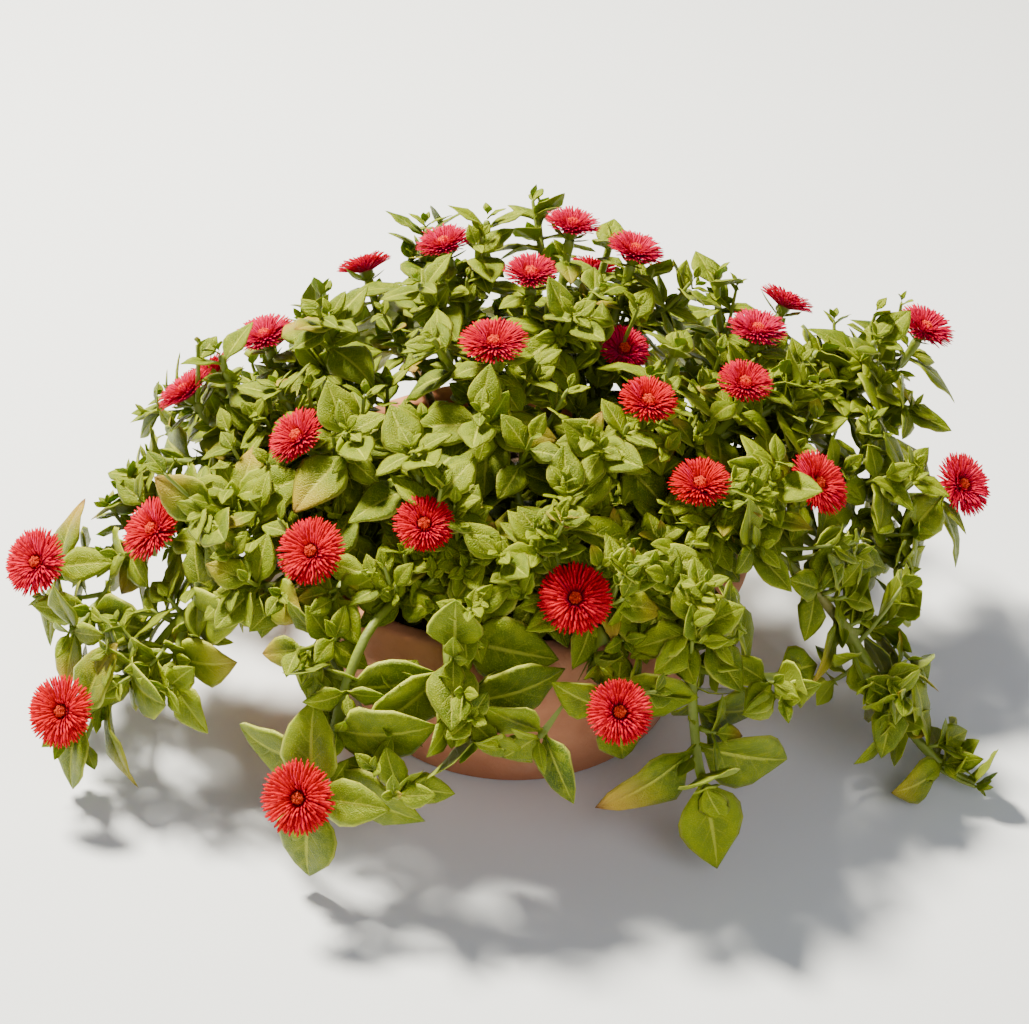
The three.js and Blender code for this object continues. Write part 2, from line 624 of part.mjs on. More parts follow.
// The rings of one shoot's stem from its root or fork to its end, two close together at each pair of
// leaves, and the face where each leaf grows.
function shootRings(shoot, pairs) {
  const { path, radius, rooted } = shoot;
  const lowest = path.length - pairDistance(shoot, pairs[0] ?? 0);
  const ring = (distance, size = radius) => squareRing(path.place(distance), shoot, size);
  const rings = rooted ? [] : [ring(0)];
  if (rooted) {
    const root = { point: path.place(0).point, heading: UP };
    const buried = { point: root.point.clone().addScaledVector(UP, -ROOT_DEPTH), heading: UP };
    rings.push(squareRing(buried, shoot, radius), squareRing(root, shoot, radius));
  }
  const bends = (rooted ? 2 : 1) + Math.floor(lowest / BEND_STEP);
  for (let i = 1; i < bends; i += 1) rings.push(ring((lowest * i) / bends));
  const pairAt = new Map();
  for (const pair of pairs) {
    const distance = path.length - pairDistance(shoot, pair);
    pairAt.set(pair, rings.length);
    rings.push(ring(distance - NODE_HEIGHT / 2), ring(distance + NODE_HEIGHT / 2));
  }
  rings.push(ring(path.length, radius * TAPER));
  if (shoot.bloom) {
    const axis = leaning(shoot.lean);
    const rim = path.place(path.length).point.clone().addScaledVector(axis, CALYX_HEIGHT);
    rings.push(squareRing({ point: rim, heading: axis }, shoot, CALYX_RADIUS));
  }
  return { rings, pairAt };
}

function rootHole(shoot) {
  const base = shoot.path.place(0).point;
  const ring = (up) => squareRing(
    { point: base.clone().addScaledVector(UP, up), heading: UP },
    shoot,
    shoot.radius + ROOT_GAP * Math.SQRT2,
  );
  return solid(skin([ring(-ROOT_DEPTH - SEAT_GAP), ring(HOLE_ABOVE)]));
}

// All the shoots of each stem, with their paths and rings
const shootsOf = STEMS.map((stem) => {
  const main = { ...stem, path: rootedPath(stem), radius: STEM_RADIUS, rooted: true };
  const sides = stem.sides.map((side) =>
    ({ bloom: 0, ...side, path: branchPath(main.path, side), radius: SHOOT_RADIUS, rooted: false }));
  return [main, ...sides].map((shoot) => ({ ...shoot, ...shootRings(shoot, pairsOf(shoot)), leaves: [] }));
});

const pot = potSolid();
const soil = soilSolid(shootsOf.map(([main]) => rootHole(main)));
const blooms = shootsOf
  .filter(([main]) => main.bloom)
  .map(([main]) => solid(standBloom(bloomGeometry(main.bloom), main)));

// Leaves take their places one by one, each in the first way that leaves it clear of all that is there.
// A leaf is tried twice: its blade with some room round it, and its true shape from its own stem's face.
const entry = (made, shoot) => ({ made, shoot, bounds: made.boundingBox() });
const crowd = [
  ...[pot, soil, ...blooms].map((made) => entry(made)),
  ...shootsOf.flat().map((shoot) => entry(solid(skin(shoot.rings)), shoot)),
];

function isFree(tried, others) {
  const bounds = tried.boundingBox();
  return bounds.min[2] > FLOOR_CLEARANCE && !others.some((other) => meets(tried, bounds, other));
}

function growLeaf(shoot, pair, half, ring, number) {
  const face = faceOf(pair, half);
  const [low, high] = [shoot.rings[ring], shoot.rings[ring + 1]];
  const next = (face + 1) % 4;
  const foot = [low[face], low[next], high[next], high[face]];
  const others = crowd.filter((other) => other.shoot !== shoot);
  for (const way of LEAF_WAYS) {
    const pose = leafPose(shoot, pair, half, number, way);
    if (pose.along.dot(outward(pose.root)) < MOST_INWARD) continue;
    if (!isFree(bladeSolid(blade(pose, [STALK_STATION, ...pose.stations], CLEARANCE), []), crowd)) continue;
    const leaf = blade(pose, pose.stations, 0);
    const made = bladeSolid(leaf, [foot]);
    if (!isFree(made, others)) continue;
    crowd.push(entry(made));
    return { ...leaf, face, pair };
  }
  return null;
}

shootsOf.forEach((shoots, stem) => shoots.forEach((shoot, turn) => {
  for (const [pair, ring] of shoot.pairAt) {
    for (const half of [0, 1]) {
      const leaf = growLeaf(shoot, pair, half, ring, 97 * stem + 31 * turn + 8 * pair + 4 * half);
      if (leaf) shoot.leaves.push(leaf);
    }
  }
}));

// A shoot with the leaves that found room. A pair that found none leaves no rings on the stem.
function leafyShoot(shoot) {
  const kept = pairsOf(shoot).filter((pair) => shoot.leaves.some((leaf) => leaf.pair === pair));
  const { rings, pairAt } = shootRings(shoot, kept);
  const leaves = shoot.leaves.map((leaf) => [`${pairAt.get(leaf.pair)},${leaf.face}`, leaf]);
  return solid(skin(rings, new Map(leaves)));
}

// The finished part
const clay = new THREE.MeshStandardMaterial({ color: 0xb8643f, roughness: 0.9, metalness: 0 });
const earth = new THREE.MeshStandardMaterial({ color: 0x3a2a1e, roughness: 1, metalness: 0 });
const green = new THREE.MeshStandardMaterial({ color: 0x7f9c2f, roughness: 0.45, metalness: 0 });
const red = new THREE.MeshStandardMaterial({ color: 0xd3152c, roughness: 0.4, metalness: 0 });

const plant = new THREE.Group();

function addPiece(name, made, material) {
  const mesh = new THREE.Mesh(geometryOf(made), material);
  mesh.name = name;
  plant.add(mesh);
}

const twoDigits = (value) => String(value).padStart(2, "0");
addPiece("pot", pot, clay);
addPiece("soil", soil, earth);
shootsOf.forEach((shoots, i) => {
  const [main, ...sides] = shoots.map(leafyShoot);
  addPiece(`leafy_stem_${twoDigits(i + 1)}`, sides.reduce((all, side) => all.add(side), main), green);
});
blooms.forEach((made, i) => addPiece(`bloom_${twoDigits(i + 1)}`, made, red));

export default plant;
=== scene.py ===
# %% [markdown]
# # A potted heartleaf ice plant
# The object is a trailing succulent with small heart-shaped leaves and red daisy-like blooms. It grows
# in a low clay pot and spills over the rim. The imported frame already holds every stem, large leaf and
# bloom as a plain faceted solid. This script reads their places and sizes back from those solids and
# grows a finer plant on them, so the two can never drift apart. Lengths are in metres, and +Z is up.

# %% Load the frame
import math

import bmesh
import bpy
import numpy as np
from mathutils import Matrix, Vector


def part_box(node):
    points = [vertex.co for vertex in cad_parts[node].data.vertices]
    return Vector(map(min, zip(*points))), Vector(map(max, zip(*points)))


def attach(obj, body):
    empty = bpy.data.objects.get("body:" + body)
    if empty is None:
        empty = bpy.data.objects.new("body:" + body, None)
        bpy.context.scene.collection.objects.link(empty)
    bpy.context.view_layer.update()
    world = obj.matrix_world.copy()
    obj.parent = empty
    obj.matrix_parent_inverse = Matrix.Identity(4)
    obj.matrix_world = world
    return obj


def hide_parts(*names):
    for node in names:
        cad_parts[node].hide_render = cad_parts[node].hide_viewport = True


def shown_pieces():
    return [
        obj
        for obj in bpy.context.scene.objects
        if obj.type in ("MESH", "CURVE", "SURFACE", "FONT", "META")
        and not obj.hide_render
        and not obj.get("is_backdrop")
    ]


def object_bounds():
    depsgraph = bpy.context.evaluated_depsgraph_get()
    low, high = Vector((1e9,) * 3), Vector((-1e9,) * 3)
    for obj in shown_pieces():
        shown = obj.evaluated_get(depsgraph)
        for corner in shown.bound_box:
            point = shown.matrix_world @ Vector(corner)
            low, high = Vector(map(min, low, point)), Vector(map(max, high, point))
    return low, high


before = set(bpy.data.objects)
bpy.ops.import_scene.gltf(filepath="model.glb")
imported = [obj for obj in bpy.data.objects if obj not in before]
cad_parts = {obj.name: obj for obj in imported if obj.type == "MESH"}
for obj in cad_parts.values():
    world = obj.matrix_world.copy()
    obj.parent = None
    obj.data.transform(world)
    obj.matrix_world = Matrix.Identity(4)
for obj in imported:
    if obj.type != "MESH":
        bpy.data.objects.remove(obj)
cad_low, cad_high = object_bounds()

MM = 0.001
rng = np.random.default_rng(7400)
stem_nodes = sorted(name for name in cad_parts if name.startswith("leafy_stem"))
bloom_nodes = sorted(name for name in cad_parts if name.startswith("bloom"))
print(len(stem_nodes), "leafy stems and", len(bloom_nodes), "blooms in a frame of", cad_high - cad_low)


# %% [markdown]
# ## Finishes from nodes
# Every finish here is a Principled shader whose colour, roughness and bump come from noise and from
# facts that the meshes carry as attributes. Nodes are joined by short calls, so that a finish reads
# like a recipe.

# %% Node helpers
class Finish:
    """A material with a Principled shader, and short calls that add and join nodes."""

    def __init__(self, name, **values):
        self.material = bpy.data.materials.new(name)
        self.material.use_nodes = True
        self.tree = self.material.node_tree
        self.shader = self.tree.nodes["Principled BSDF"]
        for key, value in values.items():
            self.shader.inputs[key.replace("_", " ")].default_value = value

    def put(self, socket, value):
        if isinstance(value, bpy.types.NodeSocket):
            self.tree.links.new(value, socket)
        else:
            socket.default_value = value

    def read(self, attribute):
        node = self.tree.nodes.new("ShaderNodeAttribute")
        node.attribute_name = attribute
        return node.outputs["Fac"]

    def math(self, operation, a, b=0.0):
        node = self.tree.nodes.new("ShaderNodeMath")
        node.operation = operation
        self.put(node.inputs[0], a)
        self.put(node.inputs[1], b)
        return node.outputs[0]

    def step(self, value, start, end):
        """0 below start, 1 above end and smooth between, or the other way round."""
        node = self.tree.nodes.new("ShaderNodeMapRange")
        node.interpolation_type = "SMOOTHSTEP"
        self.put(node.inputs["Value"], value)
        rises = start < end
        node.inputs["From Min"].default_value = min(start, end)
        node.inputs["From Max"].default_value = max(start, end)
        node.inputs["To Min"].default_value = 0 if rises else 1
        node.inputs["To Max"].default_value = 1 if rises else 0
        return node.outputs["Result"]

    def mix(self, share, a, b):
        """A Mix node lists its number and vector sockets first, so its colours are 6, 7 and 2."""
        node = self.tree.nodes.new("ShaderNodeMix")
        node.data_type = "RGBA"
        self.put(node.inputs[0], share)
        for socket, value in ((node.inputs[6], a), (node.inputs[7], b)):
            self.put(socket, (*value, 1) if isinstance(value, tuple) and len(value) == 3 else value)
        return node.outputs[2]

    def noise(self, scale, detail=3.0):
        """An even noise over the piece's own place, in features per metre."""
        place = self.tree.nodes.new("ShaderNodeTexCoord")
        node = self.tree.nodes.new("ShaderNodeTexNoise")
        self.put(node.inputs["Vector"], place.outputs["Object"])
        self.put(node.inputs["Scale"], scale)
        self.put(node.inputs["Detail"], detail)
        return node.outputs["Fac"]

    def colour(self, value):
        self.put(self.shader.inputs["Base Color"], value)

    def roughness(self, value):
        self.put(self.shader.inputs["Roughness"], value)

    def bump(self, height, distance, strength=1.0):
        node = self.tree.nodes.new("ShaderNodeBump")
        self.put(node.inputs["Height"], height)
        self.put(node.inputs["Distance"], distance)
        self.put(node.inputs["Strength"], strength)
        self.put(self.shader.inputs["Normal"], node.outputs["Normal"])


# %% [markdown]
# ## One way to make leaves, petals and sepals
# All of them are long, closed and thin. Each is a row of cross-sections that end in a point, so one
# helper makes them all: it takes the sections of many forms at once and returns a single mesh. Facts
# such as how far along the leaf a point lies are stored as attributes for the materials to read.

# %% A mesh of many lofted forms
def lofted(name, rings, points, facts):
    """rings has the shape (forms, sections, around, 3), and points the shape (forms, 3)."""
    forms, sections, around, _ = rings.shape
    corners = sections * around
    places = np.concatenate([rings.reshape(forms, corners, 3), points[:, None]], 1)
    low = (np.arange(sections - 1)[:, None] * around + np.arange(around)).ravel()
    after = (np.arange(sections - 1)[:, None] * around + (np.arange(around) + 1) % around).ravel()
    walls = np.stack([low, after, after + around, low + around], -1)
    last = corners - around + np.arange(around)
    ends = np.stack([last, np.roll(last, -1), np.full(around, corners)], -1)
    first = (np.arange(forms) * (corners + 1))[:, None, None]
    faces = (walls + first).reshape(-1, 4).tolist() + (ends + first).reshape(-1, 3).tolist()
    faces += (np.arange(around)[::-1] + first[:, 0]).tolist()
    mesh = bpy.data.meshes.new(name)
    mesh.from_pydata(places.reshape(-1, 3), [], faces)
    for fact, values in facts.items():
        spread = np.broadcast_to(values, (forms, corners + 1)).astype(np.float32)
        mesh.attributes.new(fact, "FLOAT", "POINT").data.foreach_set("value", spread.ravel())
    mesh.shade_smooth()
    return mesh


def add_piece(name, mesh, material, slot, *replaced):
    piece = bpy.data.objects.new(name, mesh)
    bpy.context.scene.collection.objects.link(piece)
    piece.data.materials.append(material)
    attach(piece, "root")
    if replaced:
        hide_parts(*replaced)
    return piece


# %% [markdown]
# ## The pot
# The pot is a plain clay pan with a banded rim, turned on a wheel. It could be a cylinder with bevels,
# but half an outline spun round an axis is how a potter shapes it, and it gives every radius directly.
# The outline follows the frame's pot, with its corners rounded as fired clay has them.

# %% Spin an outline round the axis
def turned(name, outline, sides):
    """A closed body of revolution from (radius, height) points that start and end on the axis."""
    body = bmesh.new()
    angles = np.arange(sides) * math.tau / sides
    rows = [
        [body.verts.new((r * math.cos(a), r * math.sin(a), z)) for a in angles] if r > 0
        else [body.verts.new((0, 0, z))]
        for r, z in outline
    ]
    for low, high in zip(rows, rows[1:]):
        for i in range(sides):
            j = (i + 1) % sides
            corners = [low[i % len(low)], low[j % len(low)], high[j % len(high)], high[i % len(high)]]
            body.faces.new(list(dict.fromkeys(corners)))
    mesh = bpy.data.meshes.new(name)
    body.to_mesh(mesh)
    mesh.shade_smooth()
    return mesh


# %% Outline of the pot
pot_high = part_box("pot")[1]
POT_HEIGHT, RIM_RADIUS = pot_high.z, pot_high.x
FOOT_RADIUS, RIM_BAND, RIM_STEP, WALL, FLOOR = 42 * MM, 13 * MM, 3.5 * MM, 5 * MM, 6 * MM
BAND_FOOT = POT_HEIGHT - RIM_BAND
INNER_BEND = 40 * MM
CORNER_CUT = 1.4 * MM
POT_SIDES = 96


def softened(outline, amount):
    """Each inner corner of an outline is cut twice, so that it turns smoothly."""
    made = [np.array(outline[0])]
    for before, corner, after in zip(outline, outline[1:], outline[2:]):
        before, corner, after = map(np.array, (before, corner, after))
        back, on = before - corner, after - corner
        cut = min(amount, np.linalg.norm(back) / 2.2, np.linalg.norm(on) / 2.2)
        start = corner + back / np.linalg.norm(back) * cut
        end = corner + on / np.linalg.norm(on) * cut
        made += [start, (start + end) / 4 + corner / 2, end]
    return made + [np.array(outline[-1])]


def wall_radius(height):
    return FOOT_RADIUS + (RIM_RADIUS - RIM_STEP - FOOT_RADIUS) * height / BAND_FOOT


pot_outline = softened([
    (0, 0),
    (FOOT_RADIUS, 0),
    (wall_radius(BAND_FOOT), BAND_FOOT),
    (RIM_RADIUS, BAND_FOOT + 2 * MM),
    (RIM_RADIUS, POT_HEIGHT),
    (RIM_RADIUS - WALL, POT_HEIGHT),
    (wall_radius(INNER_BEND) - WALL, INNER_BEND),
    (wall_radius(FLOOR) - WALL, FLOOR),
    (0, FLOOR),
], CORNER_CUT)
print("pot", round(2 * RIM_RADIUS / MM), "mm wide and", round(POT_HEIGHT / MM), "mm high")


# %% [markdown]
# ## The pot's clay
# Fired clay is matt and orange-brown, a little darker in places, with a pale chalk where water has dried
# out of it. A photo of clay could be wrapped round the pot, but two soft noises of different sizes do
# the same at any distance, and a third one, much finer, roughens the surface.

# %% Clay finish and the pot
def clay_finish():
    clay = Finish("terracotta")
    darker = clay.step(clay.noise(55.0, 6.0), 0.35, 0.7)
    mottled = clay.mix(darker, (0.43, 0.155, 0.07), (0.56, 0.23, 0.115))
    chalk = clay.step(clay.noise(38.0, 8.0), 0.56, 0.78)
    clay.colour(clay.mix(clay.math("MULTIPLY", chalk, 0.4), mottled, (0.68, 0.50, 0.40)))
    clay.roughness(0.85)
    clay.bump(clay.noise(900.0, 5.0), 0.0004, 0.6)
    return clay.material


pot_mesh = turned("clay_pot", pot_outline, POT_SIDES)
add_piece("clay_pot", pot_mesh, clay_finish(), "terracotta", "pot")
print("pot of", len(pot_mesh.polygons), "faces")

# %% [markdown]
# ## The soil
# Potting soil is dark, crumbly and uneven. A fine disc raised by noise gives the bed, and loose crumbs
# of bark and peat on it break the light. The crumbs are one mesh of small uneven lumps.

# %% Soil bed
soil_low, soil_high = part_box("soil")
SOIL_SIDES, SOIL_RINGS = 72, 24


def soil_height(x, y):
    r = np.hypot(x, y) / soil_high.x
    waves = np.sin(x * 310 + 1.3) * np.sin(y * 270 + 0.4) + 0.5 * np.sin(x * 700 + y * 530)
    return soil_high.z - 3 * MM * r**3 + 0.7 * MM * waves * (1 - r**6) - 0.4 * MM


def soil_finish():
    soil = Finish("soil", Roughness=0.95)
    lumps = soil.step(soil.noise(420.0, 4.0), 0.35, 0.7)
    soil.colour(soil.mix(lumps, (0.035, 0.02, 0.012), (0.10, 0.06, 0.033)))
    soil.bump(soil.noise(800.0, 6.0), 0.0012)
    return soil.material


soil_material = soil_finish()
bed_outline = [
    (0, soil_low.z),
    (wall_radius(soil_low.z) - WALL - 0.4 * MM, soil_low.z),
    (soil_high.x - 0.1 * MM, INNER_BEND),
]
bed_outline += [(soil_high.x * share, soil_high.z) for share in np.linspace(0.995, 0, SOIL_RINGS)]
bed = turned("soil_bed", bed_outline, SOIL_SIDES)
for vertex in bed.vertices:
    if vertex.co.z > soil_high.z - 1e-6:
        vertex.co.z = soil_height(vertex.co.x, vertex.co.y)
add_piece("soil_bed", bed, soil_material, "soil", "soil")
print("soil", round(2 * soil_high.x / MM), "mm wide, with its top at", round(soil_high.z / MM), "mm")


# %% Crumbs
CRUMBS = 600


def crumbs_mesh(name, count):
    """Lumps of three uneven rings each, laid on the bed, even over its area."""
    r = soil_high.x * 0.96 * np.sqrt(rng.random(count))
    a = rng.random(count) * math.tau
    x, y = r * np.cos(a), r * np.sin(a)
    size = rng.gamma(3.0, 0.33, count) * MM + 0.35 * MM
    centre = np.stack([x, y, soil_height(x, y) + 0.25 * size], -1)
    turn = rng.random(count)[:, None, None] * math.tau
    around = np.arange(6)[None, None] * math.tau / 6 + turn
    levels = np.array([-0.6, 0.0, 0.5])[None, :, None]
    uneven = rng.uniform(0.7, 1.25, (count, 3, 6))
    wide = np.array([0.5, 1.0, 0.7])[None, :, None] * size[:, None, None] * uneven
    squash = rng.uniform(0.45, 1, (count, 1, 1))
    high = levels * size[:, None, None] * rng.uniform(0.5, 1, (count, 1, 1)) + 0 * around
    rings = np.stack([wide * np.cos(around), wide * np.sin(around) * squash, high], -1)
    tips = np.stack([0 * size, 0 * size, 0.75 * size], -1)
    return lofted(name, rings + centre[:, None, None], tips + centre, {})


crumbs = crumbs_mesh("soil_crumbs", CRUMBS)
add_piece(crumbs.name, crumbs, soil_material, "soil")
print(CRUMBS, "crumbs")

# %% [markdown]
# ## Reading a leaf back from its solid
# Each leaf of the frame is a kite-like blade. Its point is a corner where four edges meet, and the four
# corners round it are one cross-section: two on the rib, close together, and two on the margins. The
# blade bends down along an arc of even curve and its halves fold up by a known angle, so one section
# and the point are enough to work out the leaf's root, direction, length and bend. Over 400 places
# could be typed by hand instead, but reading them stays true if the frame is changed.

# %% Corners of the frame's blades
RIB_THICKNESS = 1.3 * MM
FOLD = math.radians(20)
HALF_WIDTH = 0.36
# Large blades have two sections and small ones have one: its place along the blade and its width there
FINE_SECTION, PLAIN_SECTION = (0.7, 0.68), (0.42, 1.0)


def welded(node):
    solid = bmesh.new()
    solid.from_mesh(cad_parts[node].data)
    bmesh.ops.remove_doubles(solid, verts=solid.verts, dist=0.002 * MM)
    return solid


def facing_pairs(tip):
    ring = [edge.other_vert(tip) for edge in tip.link_edges]
    joined = {frozenset(v for v in face.verts if v is not tip) for face in tip.link_faces}
    pairs = []
    for i, a in enumerate(ring):
        pairs += [(a, b) for b in ring[i + 1:] if frozenset((a, b)) not in joined]
    return sorted(pairs, key=lambda pair: (pair[0].co - pair[1].co).length)


# %% Read one leaf
def read_leaf(tip):
    """The leaf that ends at this corner, and its section's corners, or None where none does."""
    pairs = facing_pairs(tip) if len(tip.link_edges) == 4 else []
    if len(pairs) != 2:
        return None
    (under, over), (left, right) = pairs
    spread = (left.co - right.co).length
    if abs((under.co - over.co).length - RIB_THICKNESS) > 0.05 * MM or spread < 3 * RIB_THICKNESS:
        return None
    centre = (under.co + over.co) / 2
    normal = (over.co - under.co).normalized()
    if normal.dot(left.co + right.co - 2 * centre) < 0:
        normal.negate()
    reach = tip.co - centre
    heading = (left.co - right.co).normalized().cross(normal)
    if heading.dot(reach) < 0:
        heading.negate()
    half = spread / 2 / math.cos(FOLD)
    is_fine = reach.length / half < 1.4
    share, width = FINE_SECTION if is_fine else PLAIN_SECTION
    length = half / (width * HALF_WIDTH)
    bend = 2 * math.atan2(-normal.dot(reach), heading.dot(reach)) / (1 - share)
    turn, radius = bend * share, length / bend
    leaf = {
        "root": centre - heading * radius * math.sin(turn) - normal * radius * (1 - math.cos(turn)),
        "along": heading * math.cos(turn) + normal * math.sin(turn),
        "face": normal * math.cos(turn) - heading * math.sin(turn),
        "length": length,
        "bend": bend,
    }
    corners = {tip, under, over, left, right}
    if is_fine:
        corners |= {edge.other_vert(v) for v in (under, over, left, right) for edge in v.link_edges}
    return leaf, corners


# %% Read every stem
def read_stem(node):
    """The stem's leaves, and its solid with the leaves cut off."""
    solid = welded(node)
    found = [read_leaf(v) for v in solid.verts]
    leaves = [leaf for leaf, _ in filter(None, found)]
    corners = set().union(*(some for _, some in filter(None, found)))
    bmesh.ops.delete(solid, geom=list(corners), context="VERTS")
    bmesh.ops.holes_fill(solid, edges=solid.edges, sides=4)
    bmesh.ops.join_triangles(
        solid, faces=solid.faces, angle_face_threshold=0.6, angle_shape_threshold=1.2, cmp_seam=False
    )
    return leaves, solid


stems = {node: read_stem(node) for node in stem_nodes}
print(sum(len(leaves) for leaves, _ in stems.values()), "leaves read")


# %% [markdown]
# ## Reading a bloom
# A bloom's corners lie evenly round its axis in a flat disc, so the direction in which they spread least
# is the axis. A singular value decomposition finds it in one call. Most corners lie near the petals, so
# the end of the axis that lies further from their middle is the seat on the stem.

# %% Find each bloom's seat, axis and radius
def read_bloom(node):
    points = np.array([v.co for v in welded(node).verts])
    centre = points.mean(0)
    axis = np.linalg.svd(points - centre)[2][2]
    heights = (points - centre) @ axis
    if heights.max() > -heights.min():
        axis, heights = -axis, -heights
    radius = np.linalg.norm(points - centre - np.outer(heights, axis), axis=1).max()
    return {"seat": centre + axis * heights.min(), "axis": axis, "radius": radius}


blooms = {node: read_bloom(node) for node in bloom_nodes}
print("bloom diameters in mm:", sorted({round(2 * b["radius"] / MM, 1) for b in blooms.values()}))


# %% [markdown]
# ## The leaf's form
# A heartleaf's blade is egg-shaped with a short point, on a short flat stalk. It is fleshy: about a
# millimetre thick at the rib and thin at the margin, with the rib sunk as a groove above. The halves
# fold up, the margins turn down a little and wave, and the point bends down. One leaf could be modelled
# by hand and copied, but then all would be alike. Here every leaf gets its own fold, sway and waves, and
# numpy works on whole arrays, so all leaves of a stem are shaped in one go.

# %% Outline of a leaf, and how finely it is cut
OUTLINE_AT = [0, 0.05, 0.1, 0.16, 0.23, 0.32, 0.43, 0.55, 0.67, 0.78, 0.88, 0.95, 1]
OUTLINE = [0.13, 0.12, 0.15, 0.36, 0.66, 0.91, 1, 0.95, 0.79, 0.57, 0.32, 0.14, 0]
LARGE = {
    "sections": np.array([0, 0.1, 0.18, 0.28, 0.4, 0.54, 0.69, 0.84, 0.95]),
    "across": np.array([1, 0.82, 0.5, 0.15, 0, -0.15, -0.5, -0.82, -1]),
}
MIDDLING = {
    "sections": np.array([0, 0.13, 0.25, 0.41, 0.6, 0.79, 0.94]),
    "across": np.array([1, 0.72, 0.2, 0, -0.2, -0.72, -1]),
}
SMALL = {
    "sections": np.array([0, 0.13, 0.26, 0.45, 0.66, 0.87]),
    "across": np.array([1, 0.55, 0, -0.55, -1]),
}
print("a leaf is widest at", OUTLINE_AT[OUTLINE.index(1)], "of its length")


# %% Sections of many leaves
def leaf_mesh(name, leaves, fineness):
    """leaves is a list of dicts, each as read_leaf gives, with width, age and tint added."""
    sections, across = fineness["sections"], fineness["across"]

    def column(key):
        return np.array([leaf[key] for leaf in leaves], float).reshape(len(leaves), 1, -1)

    count = len(leaves)
    root, along, face = column("root"), column("along"), column("face")
    length, bend, width = column("length"), column("bend"), column("width")
    side = np.cross(face, along)
    at = sections[None, :, None]
    turn = bend * at
    sway = rng.normal(0, 0.05, (count, 1, 1))
    middle = root + along * length / bend * np.sin(turn) - face * length / bend * (1 - np.cos(turn))
    middle = middle + side * length * sway * at**2
    normal = face * np.cos(turn) + along * np.sin(turn)

    around = np.concatenate([across, across[-2:0:-1]])
    upper = np.array([1.0] * len(across) + [-1.0] * (len(across) - 2))
    upper[[0, len(across) - 1]] = 0
    half = np.interp(at, OUTLINE_AT, OUTLINE) * width * length
    fold = np.radians(rng.uniform(8, 24, (count, 1, 1))) * (1 - 0.5 * at)
    bulge = np.interp(at, [0, 0.1, 0.3, 0.8, 1], [1.5, 1.3, 1, 0.8, 0.3])
    thick = np.clip(0.042 * length, 0.3 * MM, 0.95 * MM) * bulge * np.sqrt(np.clip(1 - around**2, 0, 1))
    groove = 0.5 * thick * np.exp(-((around / 0.13) ** 2)) * (upper > 0)
    waves = rng.uniform(1.2, 2.4, (count, 1, 1)) * at * math.tau
    waves = waves + rng.uniform(0, math.tau, (count, 1, 1))
    wave = 0.1 * half * np.sin(waves + 1.3 * np.sign(around)) * np.abs(around) ** 2
    out = half * around * np.cos(fold)
    lift = half * np.abs(around) * np.sin(fold) - 0.16 * half * around**4 + wave
    lift = lift + upper * thick / 2 - groove
    rings = middle[:, :, None] + side[:, :, None] * out[..., None] + normal[:, :, None] * lift[..., None]

    tip_turn = bend[:, 0]
    tips = root[:, 0] + along[:, 0] * length[:, 0] / bend[:, 0] * np.sin(tip_turn)
    tips = tips - face[:, 0] * length[:, 0] / bend[:, 0] * (1 - np.cos(tip_turn))
    tips = tips + side[:, 0] * length[:, 0] * sway[:, 0]

    def each_corner(values, at_tip):
        flat = np.broadcast_to(values, (len(sections), len(around))).ravel()
        return np.append(flat, at_tip)[None]

    facts = {
        "across": each_corner(around, 0),
        "along": each_corner(sections[:, None], 1),
        "under": each_corner((1 - upper) / 2, 0.5),
        "tint": column("tint")[:, :, 0],
        "age": column("age")[:, :, 0],
    }
    return lofted(name, rings, tips, facts)


# %% [markdown]
# ## Pairs of leaves
# This plant's leaves stand in pairs, and each pair stands crosswise to the next. The frame's leaves come
# back in no order, so those that share a root are grouped first. A pair's own direction, which is the
# stem's there, is the sum of its two leaves' directions.

# %% Group the leaves in pairs
def pairs_of(leaves):
    groups = []
    for leaf in leaves:
        for group in groups:
            if (group[0]["root"] - leaf["root"]).length < 0.4 * MM:
                group.append(leaf)
                break
        else:
            groups.append([leaf])
    return groups


def axis_of(group):
    if len(group) == 2:
        return (group[0]["along"] + group[1]["along"]).normalized()
    leaf = group[0]
    return (leaf["along"] * 0.5 + leaf["face"] * 0.87).normalized()


def is_tip(group, groups, axis):
    """True for a shoot's youngest pair, if the shoot doesn't end in a bloom."""
    root = group[0]["root"]
    for other in groups:
        step = other[0]["root"] - root
        if other is not group and step.length < 12 * MM and step.normalized().dot(axis) > 0.4:
            return False
    return all((Vector(b["seat"]) - root).length > 11 * MM for b in blooms.values())


print(sum(len(pairs_of(leaves)) for leaves, _ in stems.values()), "places on the stems with leaves")


# %% [markdown]
# ## Young leaves
# The frame holds the large leaves. Between them a real plant has young ones: each shoot ends in a tight
# rosette, and a small shoot sits in nearly every leaf's axil. A rosette is a few pairs that turn by a
# quarter each time and get smaller and steeper, so a short loop grows one anywhere.

# %% Grow a rosette
def small_leaf(root, axis, away, rise, length, age=0.0):
    """A young leaf that rises from the axis's crosswise direction away by an angle in degrees."""
    rise = math.radians(rise + rng.normal(0, 6))
    along = (away * math.cos(rise) + axis * math.sin(rise)).normalized()
    face = (axis * math.cos(rise) - away * math.sin(rise)).normalized()
    return {
        "root": root, "along": along, "face": face, "length": length,
        "bend": math.radians(rng.uniform(12, 40)), "age": age,
    }


def crosswise(axis, angle):
    level = axis.cross(Vector((0.3, 0.2, 1))).normalized()
    return level * math.cos(angle) + axis.cross(level) * math.sin(angle)


